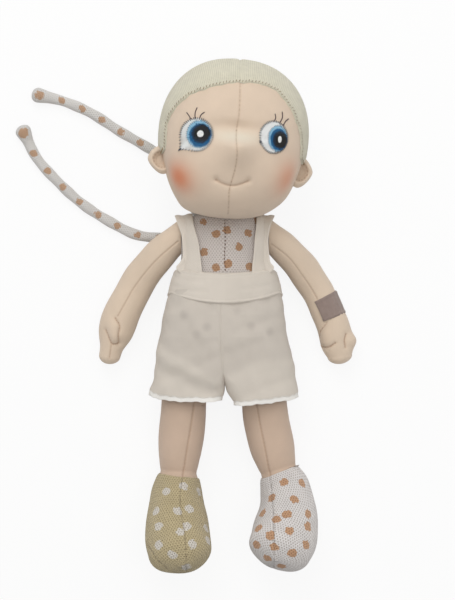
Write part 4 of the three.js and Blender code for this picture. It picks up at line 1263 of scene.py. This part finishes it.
def cut_off(piece, place, direction):
    """Keeps what lies behind a plane, closes the cut and gives the points of its rim in order, in mm."""
    shell = bmesh.new()
    shell.from_mesh(piece.data)
    everything = shell.verts[:] + shell.edges[:] + shell.faces[:]
    plane = {"plane_co": Vector(place * MM), "plane_no": Vector(direction)}
    cut = bmesh.ops.bisect_plane(shell, geom=everything, clear_outer=True, **plane)
    rim = [edge for edge in cut["geom_cut"] if isinstance(edge, bmesh.types.BMEdge)]
    points = np.unique([tuple(v.co) for edge in rim for v in edge.verts], axis=0) / MM
    for lid in bmesh.ops.holes_fill(shell, edges=rim)["faces"]:
        lid.smooth = False
    shell.to_mesh(piece.data)
    shell.free()
    aside = points - points.mean(0)
    first = unit(aside[0])
    return points[np.argsort(np.arctan2(aside @ np.cross(direction, first), aside @ first))]


# Painted shade: the legs get a darker copy of the skin jersey.
shaded_leg_jersey = jersey("shaded_leg_jersey", SHADED_LEG_TONE)
for name, leg in LEGS.items():
    side, lean = leg["side"], leg["lean"]
    hip = HIP_PLACE * [side, 1, 1]
    middles = [leg_at(side, s, lean) for s, _, _ in LEG_SWELL] + [leg_at(side, 1, lean)]
    middles += [foot_at(side, s, lean) for s, _, _ in FOOT_SWELL]
    halves = [(w * THIGH_RADIUS, d * THIGH_RADIUS) for _, w, d in LEG_SWELL] + [(ANKLE_RADIUS, ANKLE_RADIUS)]
    halves += [(w * FOOT_HALF[0], d * FOOT_HALF[1]) for _, w, d in FOOT_SWELL]
    spine = smooth_line(middles, LEG_ROWS)
    spine[:, 0] += read_off(leg["shift"], np.linspace(0, 1, LEG_ROWS))
    wide, deep = smooth_line(halves, LEG_ROWS, power=0).T
    ends = {"start_dome": 1.4, "end_dome": FOOT_HALF[1] * leg["toe"], "dome_rows": LEG_DOME_ROWS}
    rings = rings_along(spine, wide, deep, LEG_AROUND, **ends) + hip
    ankle_row = round((LEG_ROWS - 1) * len(LEG_SWELL) / (len(middles) - 1)) + LEG_DOME_ROWS
    run = run_along(rings.mean(1))[:, None]
    facing = faces_up(rings)
    drawn = np.zeros(rings.shape[:2])
    for line in leg["seams"]:
        away = to_line(rings[..., 0], rings[..., 1], smooth_line(line, 40))
        drawn = np.maximum(drawn, hump(away, 0.6) * facing)
    tight = -0.9 * hump(run - run[ankle_row], 3.2) + lumps(rings, 0.6)
    rings = rings + outward(rings) * (tight - 0.5 * drawn * (1 + 0.3 * np.sin(run * 2.2)))[..., None]
    off_table(rings)
    shin = slice(ankle_row + ROWS_INTO_SOCK)
    tube = stuffed("jersey_leg_" + name, rings[shin], shaded_leg_jersey, {"seam": 0.7 * drawn[shin]})
    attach(tube, "leg_" + name)
    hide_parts("leg_cover_" + name, "leg_filling_" + name)
    column = np.arange(LEG_AROUND)
    opening = run[ankle_row] + read_off(leg["opening"], column * 360 / LEG_AROUND)
    first = np.interp(opening, run[:, 0], np.arange(len(run)))
    at = first + (len(run) - 1.001 - first) * np.linspace(0, 1, len(run) - ankle_row)[:, None]
    low, part = at.astype(int), (at % 1)[..., None]
    foot = rings[low, column] * (1 - part) + rings[low + 1, column] * part
    sock_seam = drawn[low, column]
    into = np.interp(at, np.arange(len(run)), run[:, 0]) - opening
    arch = foot_at(side, 0.6, lean)
    toes = unit(foot_at(side, 0.9, lean) - arch)
    soleward = unit(toes * toes[2] - [0, 0, 1])
    sole_seam = arch + soleward * SOLE_DROP + hip
    below = (foot - sole_seam) @ soleward
    sole_groove = -0.9 * hump(below, 0.9) + 0.4 * hump(below - 3, 2.2)
    foot = foot + outward(foot) * (1.1 * rolled(into, 1.4) - 0.2 + sole_groove)[..., None]
    off_table(foot)
    looking = outward(foot)[..., 2]
    seen_x, seen_y = seen_at(foot)
    middles = []
    for x, y in leg["spots"]:
        off = np.where(looking > -0.1, np.hypot(seen_x - x, seen_y - y), 1e3)
        middles.append(foot.reshape(-1, 3)[off.argmin()])
    for j in range(5, foot.shape[0] - 8, 24):
        for i in range(LEG_AROUND // 2 + 6 + 12 * (j // 24 % 2), LEG_AROUND - 4, 25):
            if looking[j, i] < -0.15 and np.linalg.norm(np.array(middles) - foot[j, i], axis=1).min() > 11:
                middles.append(foot[j, i])
    sock_marks = [("spot", leg["spot"], 0.95, SOCK_SPOT_RADIUS * MM), SOCK_SEAM]
    finish = {"gap_share": leg["gap"], "patch": 0.008, "marks": sock_marks}
    sock_knit = cloth("sock_knit_" + name, leg["knit"], KNIT, SOCK_KNIT, 0.0004, **finish)
    marks = {
        "spot": nearest(foot, middles) * MM,
        "seam": np.maximum(sock_seam * (0.5 + 0.5 * np.sin(into * 2.6)), 0.7 * hump(below, 0.7)),
    }
    for part, way in (("sock_" + name, soleward), ("sole_" + name, -soleward)):
        piece = stuffed(part + "_knit", foot, sock_knit, marks)
        rim = cut_off(piece, sole_seam, way)
        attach(piece, "leg_" + name)
        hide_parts(part)
    rim = closed(rim)
    rim_up = unit(rim - rim.mean(0))
    sole_yarn = yarn_finish("sole_yarn_" + name, leg["knit"])
    sewn = stitched("sole_stitches_" + name, [rim + rim_up * 0.25], [rim_up], sole_yarn, 2.4, 1.8, 0.5, 30)
    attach(sewn, "leg_" + name)

# Waistband: a double band of unbleached woven cotton round the waist. Its front sags to the middle, and the
# straps and the shorts are sewn into it.
COTTON_TONE = (222, 213, 201)
COTTON_WEAVE = {"Warp": 0.00062, "Weft": 0.00055}
COTTON_FINISH = {"gap_share": 0.3, "shade": 0.07, "patch": 0.012, "sheen": 0.15}
COTTON_MARKS = [
    ("show_through", (122, 112, 110), 0.3, 0),
    ("seam", (150, 134, 118), 0.12, 0),
    ("hem", (251, 248, 242), 0.95, 0),
]
BAND_EDGE = 0.4
BAND_LIFT = 3.2
BAND_ROWS = 60
BAND_AROUND = 256
BAND_FOLDS = [
    [(-35, 1), (-24, -3.5), (-12, -4.5)], [(-34, 7), (-25, 3), (-14, 2.5)], [(34, 3), (24, -1), (12, -3)],
]
cotton = cloth("woven_cotton", COTTON_TONE, WEAVE, COTTON_WEAVE, 0.0001, **COTTON_FINISH, marks=COTTON_MARKS)
turn = np.linspace(2 * np.pi, 0, BAND_AROUND + 1)[:-1]
across, up = bulge(np.cos(turn), TORSO_FULLNESS), bulge(np.sin(turn), TORSO_FULLNESS)
rows = np.linspace(0, 1, BAND_ROWS)[:, None]
front = soft_step(up, -0.2, 0.5)
top = (8 + 3.6 * across**2) * front + 9 * (1 - front)
bottom = (-13 + 7.2 * across**2) * front - 9 * (1 - front)
y = bottom + (top - bottom) * rows
middle, wide, deep = body_half(y)
from_edge = np.minimum(y - bottom, top - y)
lift = BAND_EDGE + (BAND_LIFT - BAND_EDGE) * rolled(from_edge, 1.5)
lift = lift + 0.3 * hump(y - bottom - 1.4, 1.2) - 0.15 * hump(from_edge - 2.6, 0.5)
lift = lift + 0.15 * np.sin(turn * 9 + rows * 2.2) * (up < 0.9)
for line in BAND_FOLDS:
    lift = lift - 0.3 * hump(to_line(wide * across, y, smooth_line(line, 12)), 1.8) * front
rings = np.stack([(wide + lift) * across, y, middle + (deep + lift) * up], -1)
off_table(rings)
band = sewn_piece("cotton_waistband", rings, cotton)
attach(band, "torso")
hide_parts("waistband")

# Straps: two flat bands of the same cotton, wider at the waistband, that go over the shoulders and down the
# back. They are folded double, so their edges are soft.
STRAPS = {  # side, then heights along the body with the inner and the outer edge
    "right": (-1, [
        (3, 15, 27), (8, 15.2, 30), (11.5, 15.6, 32.6), (15, 16, 30), (19, 16.5, 28.2), (27, 17.5, 28.4),
        (34, 19.4, 29.2), (40, 21, 31.2), (48, 22.3, 34.4),
    ]),
    "left": (1, [
        (3, 18, 27), (8, 18, 30), (11.5, 18.2, 32.8), (15, 18.5, 30.4), (20, 19.2, 29.6), (30, 20, 28.8),
        (40, 21, 30.6), (48, 21.6, 34),
    ]),
}
STRAP_ROOT = 3
STRAP_TOP = 36
STRAP_CREST = 11.1
STRAP_LIFT = 1.7
STRAP_LOWEST = 0.75
STRAP_THICKNESS = 1.3
STRAP_ROUNDING = 0.4
for name, (side, edges) in STRAPS.items():
    edges = smooth_line(edges, 160, power=0)
    climb = np.linspace(STRAP_ROOT, STRAP_TOP, 76)
    over = np.linspace(0, np.pi, 60)[1:-1]
    crest = np.concatenate([0 * climb, np.sin(over), 0 * climb])[:, None]
    y = np.concatenate([climb, 0 * over + STRAP_TOP, climb[::-1]])[:, None] + STRAP_CREST * crest
    facing = np.concatenate([0 * climb + 1, np.cos(over), 0 * climb - 1])[:, None]
    inner, outer = (np.interp(y, edges[:, 0], edges[:, i]) for i in (1, 2))
    part = np.linspace(0, 1, 30)
    x = inner + (outer - inner) * part
    height = np.minimum(y, STRAP_TOP) + 0 * x
    middle = body_half(height)[0]
    reach = body_z(x, height, 1, 0.86) - middle + STRAP_LIFT
    folded = 0.35 * hump(part - 0.06, 0.05) + 0.35 * hump(part - 0.94, 0.05)
    ripple = 0.25 * np.sin(y / 4.1 + side) * np.sin(np.pi * part)
    y = y + crest * (1.4 * (0.5 - part) + 0.4 * np.sin(9 * part))
    sheet = np.stack([side * x, y, middle + facing * (reach + folded + ripple)], -1)
    off_table(sheet, STRAP_LOWEST)
    strap = sewn_piece("cotton_strap_" + name, sheet[:, ::side], cotton, wrap=False)
    thickened(strap, STRAP_THICKNESS, 0)
    rounding = strap.modifiers.new("rounding", "BEVEL")
    rounding.width = STRAP_ROUNDING * MM
    rounding.segments = 2
    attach(strap, "torso")
    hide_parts("strap_" + name)

# Shorts: two halves of woven cotton sewn together down the middle, loose round the hips, each with a wide leg
# whose edge is rolled and overlocked with light thread. The body's spots show through faintly.

# Outline and gap give the outer edge and the gap to the middle seam at heights along the body. Hem gives
# heights at shares of the way round a leg. Above the line of lies, the cloth lies on the body.
SHORTS = {
    "right": {
        "side": -1, "fold": 0.8, "lies": [(3, -66), (25, -53), (46, -39)],
        "outline": [(-80, 52.5), (-73, 51), (-63, 47.6), (-51, 46.2), (-37, 44.2), (-20, 40.8), (-2, 36.8)],
        "gap": [(-90, 2.4), (-75, 2.3), (-71, 1.5), (-66, 0.7), (-60, 0.1), (-55, 0.05)],
        "hem": [
            (0, -75), (0.06, -75.4), (0.12, -78.4), (0.2, -79.2), (0.33, -78.4), (0.44, -75.6), (0.5, -73.8),
            (0.6, -76), (0.75, -79), (0.9, -78), (1, -75),
        ],
    },
    "left": {
        "side": 1, "fold": 0.2, "lies": [(3, -62), (20, -53), (46, -50)],
        "outline": [(-84, 51), (-74, 49.6), (-68, 48.4), (-54, 46.2), (-41, 43), (-24, 39.6), (-2, 36.8)],
        "gap": [(-90, 6.6), (-78.5, 5.6), (-71, 1.6), (-66, 0.7), (-60, 0.1), (-55, 0.05)],
        "hem": [
            (0, -78.4), (0.06, -79), (0.12, -82), (0.25, -80.2), (0.4, -77.6), (0.5, -75.4), (0.6, -77),
            (0.75, -80), (0.9, -80), (1, -78.4),
        ],
    },
}
SHORTS_TOP = -3
SHORTS_ROWS = 160
SHORTS_COLUMNS = 221
SHORTS_CLOTH = 0.9
SHORTS_LOWEST = 0.95
UNDER_BAND = 0.5
HEM_ROW = -4
MIDDLE_SEAM = [(-85, 0.4), (-71, 0.4), (-57, -1.3), (-45, -2.6), (-30, -3.2), (0, -2.4)]
SEAT_FULLNESS = 2.5
SEAT_HALF = (43, 24)
CROTCH = (56, 72)
INSEAM_SHARE = 0.07
FRONT_HEIGHT = [(-84, 41), (-78, 41.6), (-57, 45.6), (-35, 50.2), (-20, 51.4), (-12, 51.1), (0, 50.8)]
BACK_HEIGHT = [(-80, 0.6), (-57, 0.8), (-30, 0.9), (0, 1.2)]
BUNCHED = [(47, -57), (30, -64), (10, -73)]
HOLLOW = [(46, -46), (28, -56), (7, -66)]
RUMPLES = (  # waves across and along the cloth, height and start
    (0.31, 0.12, 0.16, 0.4), (-0.14, 0.4, 0.14, 2.1), (0.5, 0.33, 0.1, 4), (0.22, -0.55, 0.1, 1.2),
    (0.09, 0.2, 0.2, 5),
)
overlock = yarn_finish("overlock_yarn", (251, 248, 243))
turn = np.linspace(np.pi / 2, -np.pi / 2, 4001)
seat = [half * bulge(part, SEAT_FULLNESS) for half, part in zip(SEAT_HALF, (np.cos(turn), np.sin(turn)))]
walked = run_along(np.column_stack(seat))
columns = np.linspace(0, 1, SHORTS_COLUMNS)
round_leg = np.clip((columns - INSEAM_SHARE) / (1 - 2 * INSEAM_SHARE), 0, 1)
turn = np.interp(round_leg * walked[-1], walked, turn)
inseam_front = np.clip(1 - columns / INSEAM_SHARE, 0, 1)
inseam_back = inseam_front[::-1]
hem_share = np.interp(columns, [0, INSEAM_SHARE, 1 - INSEAM_SHARE, 1], [0, 0.125, 0.875, 1])
rows = np.linspace(0, 1, SHORTS_ROWS)[:, None]
ghosts = np.array([(a, b, body_z(a, b) + 3) for a, b in FRONT_SPOTS if b < 0])
for name, half in SHORTS.items():
    side = half["side"]
    hem = eased(read_off(half["hem"], hem_share), 12)
    hem = hem + 0.25 * np.sin(hem_share * 61) + 0.2 * np.sin(hem_share * 143 + 1)
    y = SHORTS_TOP + (hem - SHORTS_TOP) * rows
    wide = read_off(half["outline"], y)
    seam_x = side * read_off(MIDDLE_SEAM, y)
    inseam = seam_x + read_off(half["gap"], y)
    high = read_off(FRONT_HEIGHT, y)
    low = read_off(BACK_HEIGHT, y)
    closing = soft_step(-y, *CROTCH)
    corner = 0.3 + 8 * closing
    across = inseam + (wide - inseam) * bulge(np.cos(turn), SEAT_FULLNESS)
    near = np.clip(1 - (across - inseam) / corner, 0, 1)
    rounded = corner * (1 - np.sqrt(1 - near**2))
    inside = (0.03 + 0.97 * closing) * ((high - low) / 2 - corner)
    up = (high + low) / 2 + (high - low) / 2 * bulge(np.sin(turn), SEAT_FULLNESS)
    up = up - np.sign(np.sin(turn)) * rounded - inside * (inseam_front - inseam_back)
    sheet = np.stack([across, y, up], -1)
    x, z = sheet[..., 0], sheet[..., 2]
    facing = soft_step(z, 22, 34)
    bunched = 1.9 * hump(to_line(x, y, BUNCHED), 6)
    hollow = -0.9 * hump(to_line(x, y, HOLLOW), 4.5)
    fold = half["fold"] * (bunched + hollow) * facing
    gathers = 0.35 * np.sin(side * x / 3.6 + 1.3 * np.sin(y / 19)) * soft_step(y, -40, -12)
    from_seam = x - seam_x
    sewn_middle = -0.12 * hump(from_seam, 1) * soft_step(y, -60, -52) * facing
    above_hem = y - hem
    roll = 0.5 * (1 - soft_step(above_hem, 2.6, 3.6))
    loose = soft_step(from_seam, 0.2, 3)
    rumpled = sum(rise * np.sin(a * side * x + b * y + start) for a, b, rise, start in RUMPLES)
    shape = (fold + gathers + rumpled) * loose + sewn_middle + roll
    sheet = sheet + outward(sheet, False) * shape[..., None]
    sheet[..., 0] = np.maximum(sheet[..., 0], seam_x - 0.1 + 0.25 * closing)
    sheet = (sheet * [side, 1, 1])[:, ::side]
    off_table(sheet, SHORTS_LOWEST + UNDER_BAND * soft_step(sheet[..., 1], -16, -10))
    lies = soft_step(y - read_off(half["lies"], x), -3, 5) * facing
    marks = {
        "show_through": np.maximum(0.45 * lies[:, ::side], hump(nearest(sheet, ghosts), 4.6)),
        "hem": (1 - soft_step(above_hem + 0.12 * np.sin(columns * 190), 2.9, 3.7))[:, ::side],
        "seam": (hump(from_seam, 0.7) * facing * soft_step(y, -62, -56))[:, ::side],
    }
    legging = sewn_piece("cotton_shorts_" + name, sheet, cotton, wrap=False, marks=marks)
    thickened(legging, SHORTS_CLOTH, -1)
    made_plain(legging)
    edge = sheet[HEM_ROW]
    edge_up = outward(sheet, False)[HEM_ROW]
    hem_line = edge + edge_up * 0.3
    hem_yarn = stitched("hem_stitches_" + name, [hem_line], [edge_up], overlock, 1.2, 3.6, 0.8, 78)
    for piece in (legging, hem_yarn):
        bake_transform(piece)
    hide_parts("shorts_" + name)

size = {"cad": [list(v) for v in cad_box], "visual": [list(v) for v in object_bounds()]}
